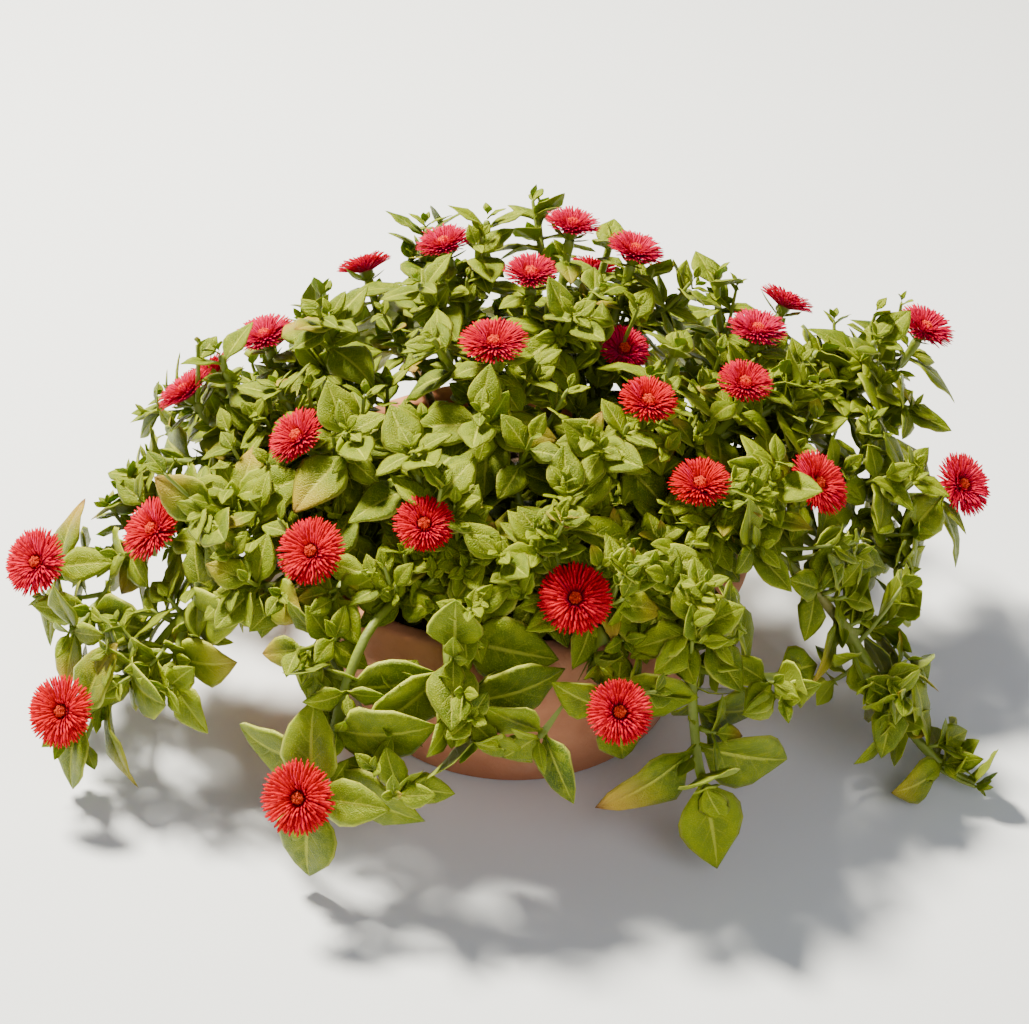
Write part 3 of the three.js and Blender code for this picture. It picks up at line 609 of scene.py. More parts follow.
def rosette(root, axis, sizes, angle, step=1.3 * MM):
    """Pairs of small leaves, each a quarter turn from the last, and each higher and steeper."""
    made = []
    for i, size in enumerate(sizes):
        for half in (0, math.pi):
            away = crosswise(axis, angle + half + i * math.pi / 2 + rng.normal(0, 0.12))
            rise = (24, 44, 62, 72)[i + max(0, 3 - len(sizes))]
            length = size * rng.uniform(0.9, 1.1)
            made.append(small_leaf(root + axis * step * i, axis, away, rise, length))
    return made


# %% Rosettes for one stem
def young_leaves(leaves):
    """Rosettes at the tips and small shoots in the axils of one stem's leaves."""
    groups = pairs_of(leaves)
    made = []
    for group in groups:
        axis = axis_of(group)
        largest = max(leaf["length"] for leaf in group)
        if is_tip(group, groups, axis):
            sine, cosine = (group[0]["along"].dot(crosswise(axis, a)) for a in (math.pi / 2, 0))
            angle = math.atan2(sine, cosine)
            sizes = (0.72 * largest, 0.5 * largest, 0.3 * largest)
            made += rosette(group[0]["root"] + axis * 1.6 * MM, axis, sizes, angle + math.pi / 2)
            continue
        for leaf in group:
            if rng.random() < 0.2:
                continue
            up = (axis * 0.75 + leaf["along"] * 0.55 + Vector((0, 0, 0.25))).normalized()
            start = leaf["root"] + up * 1.2 * MM
            size = leaf["length"] * rng.uniform(0.42, 0.66)
            made += rosette(start, up, (size, 0.55 * size), rng.uniform(0, math.pi), 1.8 * MM)
        if len(group) == 1:
            back = -(group[0]["along"] - axis * group[0]["along"].dot(axis)).normalized()
            made.append(small_leaf(group[0]["root"], axis, back, 40, 0.7 * largest))
    return made


# %% [markdown]
# ## Where nothing grows
# A leaf that a rule draws at random may land in the pot's wall, in the soil or over a bloom. Each one is
# tried at its middle and its point, and dropped if either lies where a real leaf couldn't. Testing whole
# meshes against each other would be exact and slow, and two points are enough for a small leaf. The
# blooms stand clear of the leaves, both along their own axes and towards the viewer. A leaf may not
# stray far from the frame's own leaves and blooms either, so that the mound keeps the frame's outline.

# %% Places that count
SEATS = np.array([bloom["seat"] for bloom in blooms.values()])
AXES = np.array([bloom["axis"] for bloom in blooms.values()])
RADII = np.array([bloom["radius"] for bloom in blooms.values()])
TO_VIEWER = np.array([0, -0.82, 0.57])
MARGIN = 2 * MM
MOST_STRAY = 8 * MM
DOME_MIDDLE = np.array([0, 15, 25]) * MM
DOME_REACH = np.array([118, 95, 95]) * MM


def leaf_points(leaf):
    """Points at the middle and the tip of a leaf."""
    made = []
    for share in (0.5, 1.0):
        turn, radius = leaf["bend"] * share, leaf["length"] / leaf["bend"]
        fall = leaf["face"] * radius * (1 - math.cos(turn))
        made.append(leaf["root"] + leaf["along"] * radius * math.sin(turn) - fall)
    return np.array(made)


every_leaf = [leaf for leaves, _ in stems.values() for leaf in leaves]
PLACES = np.concatenate([SEATS, *(leaf_points(leaf) for leaf in every_leaf)])
print(len(PLACES), "places that other leaves may grow near")


# %% Test a leaf's place
def hides_bloom(points, own):
    others = np.arange(len(SEATS)) != own
    step = points[:, None] - SEATS[others]
    for axis, low, high, wide in (
        (AXES[others], -1 * MM, 16 * MM, RADII[others] + 0.5 * MM),
        (TO_VIEWER, 3 * MM, 60 * MM, 0.9 * RADII[others]),
    ):
        height = (step * axis).sum(-1)
        aside = np.linalg.norm(step - height[..., None] * axis, axis=-1)
        if ((height > low) & (height < high) & (aside < wide)).any():
            return True
    return False


def is_buried(points):
    reach, height = np.hypot(points[:, 0], points[:, 1]), points[:, 2]
    outer = np.where(height > BAND_FOOT, RIM_RADIUS, wall_radius(height)) + 1 * MM
    inner = wall_radius(height) - WALL - 1 * MM
    above_soil = (height > soil_high.z + 0.5 * MM) & (reach < inner)
    in_pot = (height < POT_HEIGHT + 1 * MM) & (reach < outer) & ~above_soil
    in_floor = height < 1.5 * MM
    return bool((in_pot | in_floor).any())


def strays(point):
    """True if a point lies outside the mound's dome and well away from all that the frame holds."""
    outside = np.linalg.norm((np.array(point) - DOME_MIDDLE) / DOME_REACH) > 0.9
    return outside and np.linalg.norm(PLACES - np.array(point), axis=1).min() > MOST_STRAY


def has_room(leaf, own=-1):
    points = leaf_points(leaf)
    low, high = np.array(cad_low) - MARGIN, np.array(cad_high) + MARGIN
    fits = ((points > low) & (points < high)).all() and not strays(points[1])
    return fits and not hides_bloom(points, own) and not is_buried(points)


# %% [markdown]
# ## Side shoots
# In a mound like this each stem branches again and again, and the branches fill the room between the
# large leaves. They could be scattered over the mound as copies of one shoot, but those would float.
# Here they start at random places on the bare stretches of the frame's own stems and head out and up
# towards the light.

# %% Choose where side shoots start
MOUND_MIDDLE = Vector(DOME_MIDDLE)
MOUND_RADIUS = 100 * MM
SHOOT_SPACING, SHOOT_ROW = 5.3 * MM, 8 * MM
FRONT, FRONT_TOP, FRONT_FULLNESS = -28 * MM, 74 * MM, 2.3


def fullness(place):
    """More shoots where the mound hangs down at the front and hides the pot."""
    return FRONT_FULLNESS if place.y < FRONT and place.z < FRONT_TOP else 1.0


def start_places(solid, leaves):
    """Random points on a stem's skin with its normals there, more of them further out in the mound."""
    middles = [(face, face.calc_center_median()) for face in solid.faces]
    middles = [
        (face, middle) for face, middle in middles
        if middle.z > soil_high.z + 2 * MM or math.hypot(*middle.xy) > RIM_RADIUS
    ]
    faces = [face for face, _ in middles]
    areas = np.array([face.calc_area() * fullness(middle) for face, middle in middles])
    depth = np.array([(middle - MOUND_MIDDLE).length / MOUND_RADIUS for _, middle in middles])
    weights = areas * np.clip(depth - 0.1, 0.1, 0.5)
    made = []
    count = round(areas.sum() / (SHOOT_ROW * SHOOT_SPACING))
    for chosen in rng.choice(len(faces), size=count, p=weights / weights.sum()):
        face = faces[chosen]
        shares = rng.dirichlet(np.ones(len(face.verts)))
        place = sum((v.co * share for v, share in zip(face.verts, shares)), Vector())
        if all((leaf["root"] - place).length > 2.4 * MM for leaf in leaves):
            made.append((place, face.normal.copy()))
    return made


print("a side shoot for every", round(SHOOT_ROW * SHOOT_SPACING / MM**2), "square mm of stem")


# %% [markdown]
# ## One side shoot
# A side shoot is a thin twig with four pairs of leaves that get smaller and steeper to the tip. Near the
# rim and below it, it may also head down, as a trailing stem does. The twig is a thin lofted form like
# a leaf, so all twigs of a stem are one mesh too.

# %% Leaves of a side shoot
UP = Vector((0, 0, 1))
# Each pair's place along the twig, size and rise in degrees
SHOOT_PAIRS = [(0.38, 1.0, 24), (0.72, 0.86, 36), (0.93, 0.58, 52), (1.0, 0.34, 68)]


def side_shoot(start, normal):
    """The leaves of one side shoot and the course of its stem: its start, heading and length."""
    outward = (start - MOUND_MIDDLE).normalized()
    drift = Vector(rng.normal(0, 0.25, 3))
    low = math.hypot(*start.xy) > RIM_RADIUS and start.z < POT_HEIGHT + 4 * MM
    lift = rng.uniform(-0.3, 0.4) if low else rng.uniform(0.2, 0.9)
    heading = (outward * 0.9 + normal * 0.7 + UP * lift + drift).normalized()
    length = rng.uniform(9, 21) * MM
    while length > 5 * MM and strays(start + (heading + UP * 0.25) * length):
        length *= 0.8
    size = rng.uniform(9.5, 15) * MM
    angle = rng.uniform(0, math.pi)
    leaves = []
    for i, (share, part, rise) in enumerate(SHOOT_PAIRS):
        root = start + heading * length * share + UP * 0.25 * length * share**2
        axis = (heading + UP * 0.5 * share).normalized()
        for half in (0, math.pi):
            away = crosswise(axis, angle + half + i * math.pi / 2 + rng.normal(0, 0.15))
            leaves.append(small_leaf(root, axis, away, rise, size * part * rng.uniform(0.88, 1.12)))
    leaves = [leaf for leaf in leaves if has_room(leaf)]
    return leaves, (start, heading, length)


# %% Twigs of the side shoots
TWIG_SECTIONS = np.array([0, 0.33, 0.66, 0.95])
TWIG_SIDES = 6


def twigs_mesh(name, courses):
    """The thin stems of side shoots, as one mesh."""
    start, heading = (np.array([course[i] for course in courses])[:, None, None] for i in (0, 1))
    length = np.array([course[2] for course in courses])[:, None, None, None]
    at = TWIG_SECTIONS[None, :, None, None]
    middle = start + heading * length * at + np.array(UP) * 0.25 * length * at**2
    first = np.cross(heading, [0.3, 0.2, 0.9])
    first /= np.linalg.norm(first, axis=-1, keepdims=True)
    second = np.cross(heading, first)
    turn = (np.arange(TWIG_SIDES) * math.tau / TWIG_SIDES)[None, None, :, None]
    rings = middle + (first * np.cos(turn) + second * np.sin(turn)) * (0.75 - 0.3 * at) * MM
    tips = (start + heading * length + np.array(UP) * 0.25 * length)[:, 0, 0]
    return lofted(name, rings, tips, {"age": np.full((len(courses), 1), 0.15)})


# %% [markdown]
# ## Leaves right under a bloom
# Under each bloom stands one more pair of leaves, which frames it in green. It is crosswise to the
# nearest pair that the frame holds, so that the order of pairs goes on up to the flower.

# %% The pair under a bloom
def bloom_leaves(number, bloom):
    """The pair right under a bloom, across the frame's nearest pair."""
    seat, axis = Vector(bloom["seat"]), Vector(bloom["axis"])
    near = min(every_leaf, key=lambda leaf: (leaf["root"] - seat).length)
    level = near["along"].cross(axis).normalized()
    made = []
    for away in (level, -level):
        size = near["length"] * rng.uniform(0.7, 0.95)
        made.append(small_leaf(seat - axis * 3.5 * MM + away * 1.2 * MM, axis, away, 14, size))
    return [leaf for leaf in made if has_room(leaf, number)]


def finish_leaves(leaves, tint, width, old_share=0.0):
    for leaf in leaves:
        leaf["width"] = rng.uniform(*width)
        leaf["tint"] = np.clip(rng.normal(tint, 0.17), 0, 1)
        leaf["age"] = rng.uniform(0.3, 1) if rng.random() < old_share else 0.0
    return leaves


# %% [markdown]
# ## The leaf's finish
# The upper side is a yellow green that glistens, because its cells swell like tiny beads. The beads
# roughen and bump the surface, and pale specks on them are painted into the colour as painted
# highlights. The rib and the margin are paler, faint side veins run to the margin, and the underside
# is duller. A few old leaves turn yellow and brown from the point. An image of a leaf would need every
# blade unwrapped. The colours are mixed from the attributes instead, which stays sharp at any distance.
# Light passes through thin fleshy blades, which a little subsurface scattering gives.

# %% Leaf material
def leaf_finish():
    leaf = Finish(
        "leaf", Subsurface_Weight=0.15, Subsurface_Scale=0.001, Subsurface_Radius=(0.6, 1.0, 0.1),
        Specular_IOR_Level=0.3, Specular_Tint=(1, 1, 0.5, 1),
    )
    across, along, tint = leaf.read("across"), leaf.read("along"), leaf.read("tint")
    from_rib = leaf.math("ABSOLUTE", across)
    colour = leaf.mix(tint, (0.045, 0.09, 0.002), (0.225, 0.285, 0.002))
    heart = leaf.math("MULTIPLY", leaf.step(from_rib, 0.85, 0.25), leaf.step(along, 0.95, 0.4))
    colour = leaf.mix(leaf.math("MULTIPLY", heart, 0.5), colour, (0.04, 0.08, 0.001))
    blotches = leaf.step(leaf.noise(300.0), 0.4, 0.66)
    colour = leaf.mix(leaf.math("MULTIPLY", blotches, 0.35), colour, (0.29, 0.33, 0.004))
    beads = leaf.noise(3200.0, 1.0)
    # Painted highlight: pale specks on the beads, painted into the colour as glints of light.
    painted_glints = leaf.math("MULTIPLY", leaf.step(beads, 0.52, 0.7), 0.3)
    colour = leaf.mix(painted_glints, colour, (0.46, 0.50, 0.03))
    slant = leaf.math("SUBTRACT", along, leaf.math("MULTIPLY", from_rib, 0.3))
    veins = leaf.math("SINE", leaf.math("MULTIPLY", slant, 38.0))
    vein = leaf.math("MULTIPLY", leaf.step(veins, 0.8, 1.0), leaf.step(from_rib, 0.75, 0.2))
    rib = leaf.step(from_rib, 0.09, 0.02)
    margin = leaf.step(from_rib, 0.88, 1.0)
    pale = leaf.math("MAXIMUM", leaf.math("MULTIPLY", rib, 0.5), leaf.math("MULTIPLY", margin, 0.9))
    pale = leaf.math("MAXIMUM", pale, leaf.math("MULTIPLY", vein, 0.12))
    colour = leaf.mix(pale, colour, (0.60, 0.62, 0.08))
    colour = leaf.mix(leaf.math("MULTIPLY", leaf.read("under"), 0.5), colour, (0.21, 0.26, 0.03))
    worn = leaf.math("MULTIPLY", leaf.read("age"), leaf.step(along, 0.35, 1.0))
    colour = leaf.mix(worn, colour, (0.45, 0.27, 0.03))
    scorched = leaf.math("MULTIPLY", leaf.read("age"), leaf.step(along, 0.84, 1.0))
    leaf.colour(leaf.mix(scorched, colour, (0.14, 0.05, 0.02)))
    leaf.roughness(leaf.math("ADD", 0.27, leaf.math("MULTIPLY", beads, 0.36)))
    height = leaf.math("ADD", leaf.math("MULTIPLY", beads, 0.8), leaf.math("MULTIPLY", vein, -0.25))
    leaf.bump(height, 0.0004)
    return leaf.material


leaf_material = leaf_finish()
print("leaf finish of", len(leaf_material.node_tree.nodes), "nodes")

# %% [markdown]
# ## The stems
# The stems are as thick as a match and nearly round, green at the tips and tan and woody lower down.
# They could be drawn as curves with a bevel, but the frame's stems are square tubes on the right paths,
# forks and all. With the leaves cut off, a subdivision surface rounds such a tube. It also makes it
# thinner, so a displacement along the normals gives some of the thickness back.

# %% Stem material
def stem_finish():
    stem = Finish("stem", Roughness=0.5, Subsurface_Weight=0.1, Subsurface_Scale=0.001)
    age = stem.read("age")
    bark = stem.mix(stem.step(stem.noise(900.0), 0.4, 0.62), (0.34, 0.20, 0.075), (0.17, 0.085, 0.03))
    stem.colour(stem.mix(stem.step(age, 0.1, 0.75), (0.19, 0.25, 0.02), bark))
    stem.bump(stem.noise(1400.0), 0.0003, 0.7)
    return stem.material


stem_material = stem_finish()


# %% One stem without its leaves
YOUNG_STRETCH, OLD_STRETCH = 12 * MM, 46 * MM


def shoot_ends(leaves):
    groups = pairs_of(leaves)
    ends = [group[0]["root"] for group in groups if is_tip(group, groups, axis_of(group))]
    return np.array(ends + [Vector(b["seat"]) for b in blooms.values()])


def add_stem(number, leaves, solid):
    mesh = bpy.data.meshes.new(f"stem_{number}")
    solid.to_mesh(mesh)
    mesh.shade_smooth()
    places = np.array([v.co for v in mesh.vertices])
    nearest = np.linalg.norm(places[:, None] - shoot_ends(leaves), axis=2).min(1)
    ages = np.clip((nearest - YOUNG_STRETCH) / (OLD_STRETCH - YOUNG_STRETCH), 0, 1)
    mesh.attributes.new("age", "FLOAT", "POINT").data.foreach_set("value", ages.astype(np.float32))
    piece = add_piece(mesh.name, mesh, stem_material, "leaves", f"leafy_stem_{number}")
    smooth = piece.modifiers.new("round", "SUBSURF")
    smooth.levels = smooth.render_levels = 1
    swell = piece.modifiers.new("swell", "DISPLACE")
    swell.strength, swell.mid_level = 0.25 * MM, 0


# %% [markdown]
# ## Every stem with its leaves
# The frame's own leaves, the young ones and those of the side shoots differ in size and age, so each
# kind is one mesh on each stem, cut as finely as its size needs. A few of the larger leaves are old.

# %% Build every stem
totals = {"leaves": 0, "young_leaves": 0, "side_leaves": 0}
for node, (leaves, solid) in stems.items():
    number = node[-2:]
    add_stem(number, leaves, solid)
    young = [leaf for leaf in young_leaves(leaves) if has_room(leaf)]
    shoots = [side_shoot(*place) for place in start_places(solid, leaves)]
    shoots = [(made, course) for made, course in shoots if len(made) > 3]
    filling = [leaf for made, _ in shoots for leaf in made]
    if shoots:
        twigs = twigs_mesh(f"side_shoots_{number}", [course for _, course in shoots])
        add_piece(twigs.name, twigs, stem_material, "leaves")
    for part, some, tint, width, old_share, fineness in (
        ("leaves", leaves, 0.42, (0.31, 0.37), 0.12, LARGE),
        ("young_leaves", young, 0.68, (0.26, 0.33), 0.0, SMALL),
        ("side_leaves", filling, 0.5, (0.28, 0.36), 0.05, MIDDLING),
    ):
        if some:
            finished = finish_leaves(some, tint, width, old_share)
            blades = leaf_mesh(f"{part}_{number}", finished, fineness)
            add_piece(blades.name, blades, leaf_material, "leaves")
        totals[part] += len(some)
print(totals)


# %% [markdown]
# ## The blooms
# A bloom has over two hundred petals like narrow straps, in layers, round a small middle of stamens. The
# outer ones lie nearly flat and make a fringed disc, and the inner ones are shorter and stand up. A disc
# with a fringe painted on it would look flat from the side. Each layer is a ring of lofted straps
# instead, with small random differences in length and height.

# %% Layers of petals
LAYERS = [
    # count, reach as a share of the radius, height of the tip and of the base, half width
    (54, 1.0, 3.3, 1.2, 0.35),
    (50, 0.96, 4.2, 1.5, 0.34),
    (46, 0.86, 5.0, 1.8, 0.32),
    (38, 0.7, 5.6, 2.1, 0.29),
    (28, 0.5, 5.6, 2.3, 0.25),
    (22, 0.33, 5.1, 2.6, 0.22),
]
PETAL_SECTIONS = np.array([0, 0.4, 0.75, 0.93])
PETAL_WIDTHS = np.array([0.5, 0.85, 1.0, 0.65])
PETAL_THICKNESS, PETAL_START = 0.22 * MM, 1.6 * MM
WIDTHS_FIT_RADIUS = 8.5 * MM
print(sum(layer[0] for layer in LAYERS), "petals in", len(LAYERS), "layers")


# %% Straps in a ring
def stand(local, bloom, spin):
    """Points in a bloom's own axes, turned onto its axis and moved to its seat."""
    axis = bloom["axis"]
    first = np.cross(axis, [0.31, 0.2, 0.93])
    first /= np.linalg.norm(first)
    second = np.cross(axis, first)
    x = local[..., 0] * math.cos(spin) - local[..., 1] * math.sin(spin)
    y = local[..., 0] * math.sin(spin) + local[..., 1] * math.cos(spin)
    return bloom["seat"] + x[..., None] * first + y[..., None] * second + local[..., 2:] * axis


def strap_rings(angle, reach, rise, half, start, sections, widths, thick):
    """Rings of straps that leave the middle at start, (radius, height), and end at reach and rise."""
    at = sections[None, :]
    r = start[0] + (reach[:, None] - start[0]) * at
    arch = np.sin(at * math.pi / 2)
    z = start[1] + (rise[:, None] - start[1]) * (0.35 * at + 0.65 * arch)
    out = np.stack([np.cos(angle), np.sin(angle), 0 * angle], -1)[:, None, None]
    side = np.stack([-np.sin(angle), np.cos(angle), 0 * angle], -1)[:, None, None]
    up = np.array([0, 0, 1.0])
    wide = half[:, None] * widths[None, :]
    rings = []
    for x, y in ((1, 0.25), (0, 0.5), (-1, 0.25), (0, -0.5)):
        place = out[:, :, 0] * r[..., None] + side[:, :, 0] * (x * wide)[..., None]
        rings.append(place + up * (z + y * thick)[..., None])
    tip = out[:, 0, 0] * reach[:, None] + up * rise[:, None]
    return np.stack(rings, 2), tip


# %% All petals of a bloom
def petals_mesh(name, bloom):
    radius = bloom["radius"]
    all_rings, all_tips = [], []
    for count, reach, rise, base, half in LAYERS:
        even = np.arange(count) + rng.normal(0, 0.16, count)
        angle = even * math.tau / count + rng.uniform(0, 1)
        long = radius * reach * rng.uniform(0.93, 1.03, count)
        high = (rise + rng.normal(0, 0.28, count)) * MM
        wide = half * MM * radius / WIDTHS_FIT_RADIUS * rng.uniform(0.85, 1.12, count)
        start = (PETAL_START, base * MM)
        rings, tips = strap_rings(
            angle, long, high, wide, start, PETAL_SECTIONS, PETAL_WIDTHS, PETAL_THICKNESS
        )
        all_rings.append(rings)
        all_tips.append(tips)
    rings, tips = np.concatenate(all_rings), np.concatenate(all_tips)
    spin = rng.uniform(0, math.tau)
    along = np.append(np.repeat(PETAL_SECTIONS, 4), 1)[None]
    # Painted light: a bloom further back gets a larger share of painted pink glow, as if lit through
    # from behind.
    towards_back = min(1, max(0, (bloom["seat"][1] + 20 * MM) / (50 * MM)))
    painted_backlight = 0.8 * towards_back + rng.uniform(0, 0.25)
    facts = {"along": along, "tint": rng.random((len(rings), 1)), "painted_backlight": painted_backlight}
    return lofted(name, stand(rings, bloom, spin), stand(tips, bloom, spin), facts)


# %% [markdown]
# ## The blooms' finishes
# The petals are a clear red with a silky sheen. Blooms further back get a painted pink glow in their
# colour, as if lit through from behind, so each bloom carries its own share of it as an attribute.
# One red for all would look like plastic.
# The stamens have pale salmon tips on red threads. The cup below is green outside and red at the top.

# %% Petal finish
def petal_finish():
    petal = Finish(
        "petal", Specular_IOR_Level=0.08, Sheen_Weight=0.35, Sheen_Roughness=0.4,
        Sheen_Tint=(1, 0.02, 0.2, 1), Subsurface_Weight=0.25, Subsurface_Scale=0.001,
        Subsurface_Radius=(1.0, 0.02, 0.05),
    )
    along, tint = petal.read("along"), petal.read("tint")
    colour = petal.mix(tint, (0.40, 0.0, 0.001), (0.64, 0.0, 0.005))
    pink = petal.mix(tint, (0.44, 0.0, 0.035), (0.68, 0.002, 0.12))
    # Painted light: each bloom's share of the painted pink glow is mixed into its red.
    colour = petal.mix(petal.math("MULTIPLY", petal.read("painted_backlight"), 0.75), colour, pink)
    colour = petal.mix(petal.step(along, 0.3, 0.0), colour, (0.36, 0.0, 0.002))
    point = petal.math("MULTIPLY", petal.step(along, 0.8, 1.0), 0.3)
    petal.colour(petal.mix(point, colour, (0.8, 0.001, 0.01)))
    petal.roughness(petal.math("ADD", 0.4, petal.math("MULTIPLY", petal.noise(1500.0), 0.2)))
    return petal.material


petal_material = petal_finish()
print("petal finish of", len(petal_material.node_tree.nodes), "nodes")


# %% Stamen and cup finishes
def stamen_finish():
    stamen = Finish("stamen", Roughness=0.6, Specular_IOR_Level=0.2)
    grain = stamen.step(stamen.noise(2600.0, 1.0), 0.42, 0.62)
    point = stamen.mix(grain, (0.60, 0.012, 0.006), (0.85, 0.10, 0.018))
    stamen.colour(stamen.mix(stamen.step(stamen.read("along"), 0.5, 0.95), (0.42, 0.0, 0.003), point))
    return stamen.material


def cup_finish():
    cup = Finish("flower cup", Roughness=0.5)
    green = cup.mix(cup.noise(1200.0), (0.10, 0.15, 0.004), (0.20, 0.25, 0.01))
    cup.colour(cup.mix(cup.step(cup.read("along"), 0.45, 0.6), green, (0.34, 0.0, 0.003)))
    return cup.material


stamen_material = stamen_finish()
cup_material = cup_finish()
print("finishes:", stamen_material.name, "and", cup_material.name)


# %% [markdown]
# ## Cup, stamens and sepals
# The petals stand on a fleshy cup, with a dome of stamens in the middle and five green sepals below. The
# cup is a lofted form with a round section. The stamens follow the spiral in which a plant packs most
# evenly: each one turns by the golden angle from the last. A sepal is a small leaf, so the rules for
# leaves make it.

# %% Cup
CUP_OUTLINE = [
    # height, radius
    (-1.6, 0.9), (0.2, 1.9), (1.7, 2.1), (2.55, 1.8),
]
CUP_TOP = 2.8
CUP_SIDES = 12


def cup_mesh(name, bloom):
    """The fleshy cup that the petals and the stamens stand on."""
    angle = np.arange(CUP_SIDES) * math.tau / CUP_SIDES
    rings = [[(r * math.cos(a), r * math.sin(a), z) for a in angle] for z, r in CUP_OUTLINE]
    top = np.array([[0, 0, CUP_TOP]])
    along = np.append(np.repeat([0, 0.3, 0.65, 0.9], CUP_SIDES), 1)[None]
    rings = stand(np.array([rings]) * MM, bloom, 0)
    return lofted(name, rings, stand(top * MM, bloom, 0), {"along": along})


# %% Stamens
STAMENS = 66
GOLDEN_ANGLE = 2.399963
STAMEN_FOOT, STAMEN_SPREAD = 2.6 * MM, 1.7 * MM


def stamens_mesh(name, bloom):
    """A low dome of short threads that lean inwards, the outer ones shorter."""
    share = np.sqrt((np.arange(STAMENS) + 0.5) / STAMENS)
    angle = np.arange(STAMENS) * GOLDEN_ANGLE
    foot = STAMEN_SPREAD * share
    out = np.stack([np.cos(angle), np.sin(angle), 0 * angle], -1)
    side = np.stack([-np.sin(angle), np.cos(angle), 0 * angle], -1)
    sections = np.array([0, 0.6, 0.85])
    height = (2.2 - 0.6 * share**2 + 0.25 * np.sin(angle * 5)) * MM
    lean = 0.35 * MM * share
    rings = []
    for x, y in ((1, 0), (0, 1), (-1, 0), (0, -1)):
        wide = np.array([0.12, 0.13, 0.2]) * MM
        point = out[:, None] * (foot[:, None] - lean[:, None] * sections)[..., None]
        point = point + np.array([0, 0, 1.0]) * (STAMEN_FOOT + height[:, None] * sections)[..., None]
        point = point + out[:, None] * (x * wide)[None, :, None]
        rings.append(point + side[:, None] * (y * wide)[None, :, None])
    tips = out * (foot - lean)[:, None] + np.array([0, 0, 1.0]) * (STAMEN_FOOT + height)[:, None]
    facts = {"along": np.append(np.repeat(sections, 4), 1)[None]}
    spin = rng.uniform(0, math.tau)
    return lofted(name, stand(np.stack(rings, 2), bloom, spin), stand(tips, bloom, spin), facts)


# %% Sepals
SEPAL_LENGTHS = np.array([0.95, 0.5, 0.55, 0.9, 0.5])


def sepal_leaves(bloom):
    """Five fleshy sepals that hold the petals from below: two long ones and three short ones."""
    axis = Vector(bloom["axis"])
    angle = rng.uniform(0, math.tau)
    seat = Vector(bloom["seat"])
    made = []
    for i, length in enumerate(SEPAL_LENGTHS * bloom["radius"]):
        away = crosswise(axis, angle + i * math.tau / len(SEPAL_LENGTHS))
        leaf = small_leaf(seat + away * 1.2 * MM - axis * 1.2 * MM, axis, away, 24, length)
        leaf.update(bend=-0.3, width=0.2, tint=rng.uniform(0.3, 0.6))
        made.append(leaf)
    return made


# %% Build every bloom
for i, (node, bloom) in enumerate(blooms.items()):
    number = node[-2:]
    petals = petals_mesh(f"petals_{number}", bloom)
    add_piece(petals.name, petals, petal_material, "petals", node)
    stamens = stamens_mesh(f"stamens_{number}", bloom)
    add_piece(stamens.name, stamens, stamen_material, "petals")
    cup = cup_mesh(f"flower_cup_{number}", bloom)
    add_piece(cup.name, cup, cup_material, "petals")
    sepals = leaf_mesh(f"sepals_{number}", sepal_leaves(bloom), SMALL)
    add_piece(sepals.name, sepals, leaf_material, "leaves")
    pair = finish_leaves(bloom_leaves(i, bloom), 0.5, (0.28, 0.34))
    if pair:
        collar = leaf_mesh(f"bloom_leaves_{number}", pair, MIDDLING)
        add_piece(collar.name, collar, leaf_material, "leaves")
print(len(blooms), "blooms, the widest", round(2 * RADII.max() / MM, 1), "mm")


# %% [markdown]
# ## Studio
# The floor is plain and pale, and a little blue, because the key light is warm and the two add up to a
# neutral tone. A lamp high on the left and behind the plant is the key light. An even sky would flatten
# the mound, while this lamp makes the leaves' upper sides shine and leaves the front soft. A weak broad
# fill opens the shadows.

# %% Floor
FLOOR_REACH = 4
floor_corners = [(x * FLOOR_REACH, y * FLOOR_REACH, 0) for x, y in ((-1, -1), (1, -1), (1, 1), (-1, 1))]
floor_mesh = bpy.data.meshes.new("studio_floor")
floor_mesh.from_pydata(floor_corners, [], [(0, 1, 2, 3)])
studio_floor = bpy.data.objects.new("studio_floor", floor_mesh)
bpy.context.scene.collection.objects.link(studio_floor)
pale_finish = Finish("pale_floor", Base_Color=(0.80, 0.84, 0.93, 1), Roughness=0.9)
studio_floor.data.materials.append(pale_finish.material)
studio_floor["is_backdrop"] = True
print("floor", 2 * FLOOR_REACH, "m wide")


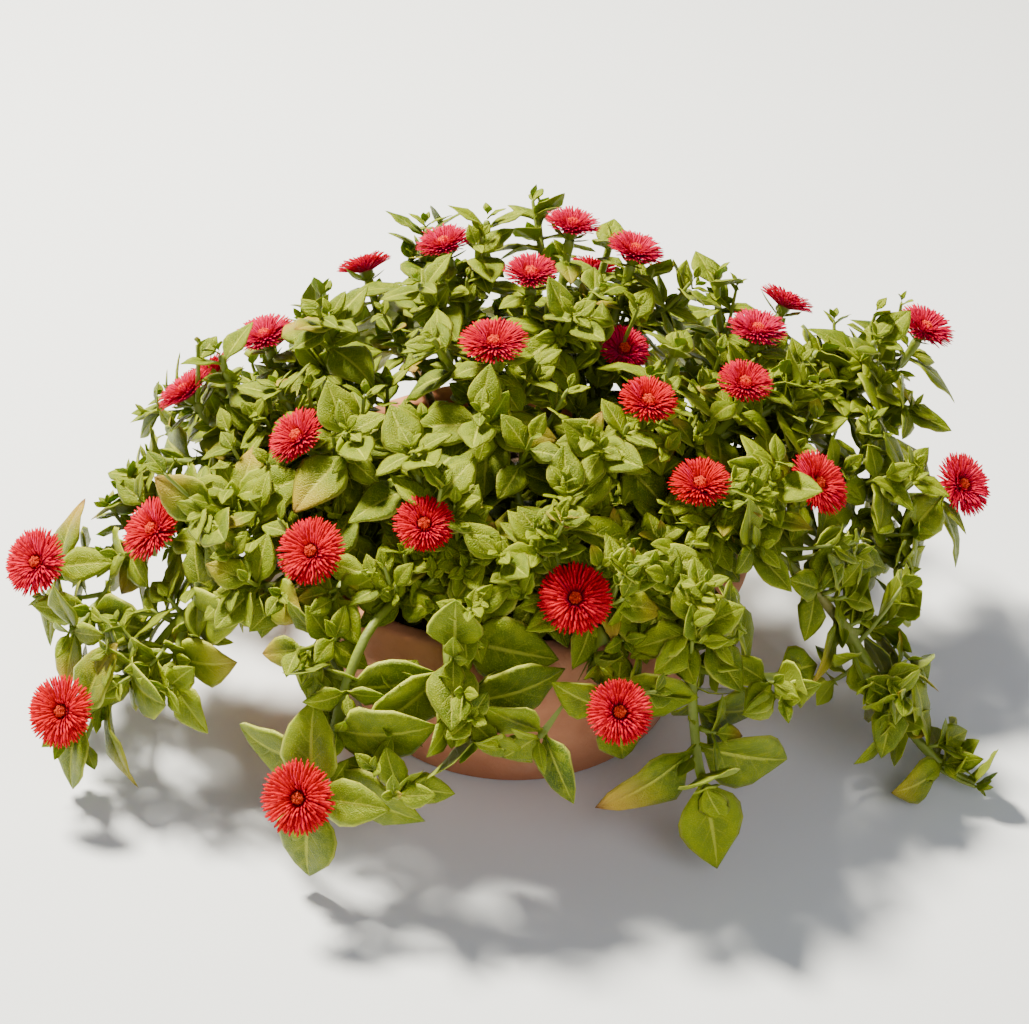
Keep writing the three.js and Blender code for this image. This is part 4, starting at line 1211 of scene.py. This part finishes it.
# %% Lights
LOOK_AT = Vector((0, 0, 0.05))


def add_lamp(name, place, size, power, colour):
    lamp = bpy.data.lights.new(name, "AREA")
    lamp.shape, lamp.size, lamp.energy, lamp.color = "DISK", size, power, colour
    holder = bpy.data.objects.new(name, lamp)
    holder.location = place
    holder.rotation_euler = (LOOK_AT - Vector(place)).to_track_quat("-Z", "Y").to_euler()
    bpy.context.scene.collection.objects.link(holder)


add_lamp("key", (-0.42, 0.38, 1.0), 0.22, 56, (1.0, 0.93, 0.74))
add_lamp("fill", (0.4, -0.9, 0.7), 0.8, 5, (1.0, 0.99, 0.97))
world = bpy.data.worlds.new("studio")
world.use_nodes = True
background = world.node_tree.nodes["Background"]
background.inputs["Color"].default_value = (0.95, 0.97, 1, 1)
background.inputs["Strength"].default_value = 0.2
bpy.context.scene.world = world
print("two lamps and a faint sky")

# %% [markdown]
# ## Camera
# The round blooms that face up look like ellipses, and how flat they are tells how high the camera
# stood: it looks down by about 35 degrees. A long lens from further away would flatten the mound, and a
# wide one from close by would stretch its front. This one is in between, as one looks at a small plant.

# %% Camera
CAMERA_PLACE = (0, -0.4915, 0.3987)
CAMERA_AIM = Vector((0, 0, 0.0546))
camera = bpy.data.objects.new("camera", bpy.data.cameras.new("camera"))
bpy.context.scene.collection.objects.link(camera)
camera.location = CAMERA_PLACE
sight = CAMERA_AIM - camera.location
camera.rotation_euler = sight.to_track_quat("-Z", "Y").to_euler()
camera.data.sensor_width, camera.data.lens = 36, 81.87
bpy.context.scene.camera = camera
print("camera looks down by", round(math.degrees(math.asin(-sight.z / sight.length))), "degrees")

# %% [markdown]
# ## Count the triangles
# The finer plant has to stay in the space of the frame's solids. The triangles are counted with the
# modifiers applied, because that is what renders.

# %% Count the triangles
depsgraph = bpy.context.evaluated_depsgraph_get()
counts = {
    piece.name: sum(len(face.vertices) - 2 for face in piece.evaluated_get(depsgraph).data.polygons)
    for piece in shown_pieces()
}
print(sum(counts.values()), "triangles in all, most of them in", max(counts, key=counts.get))
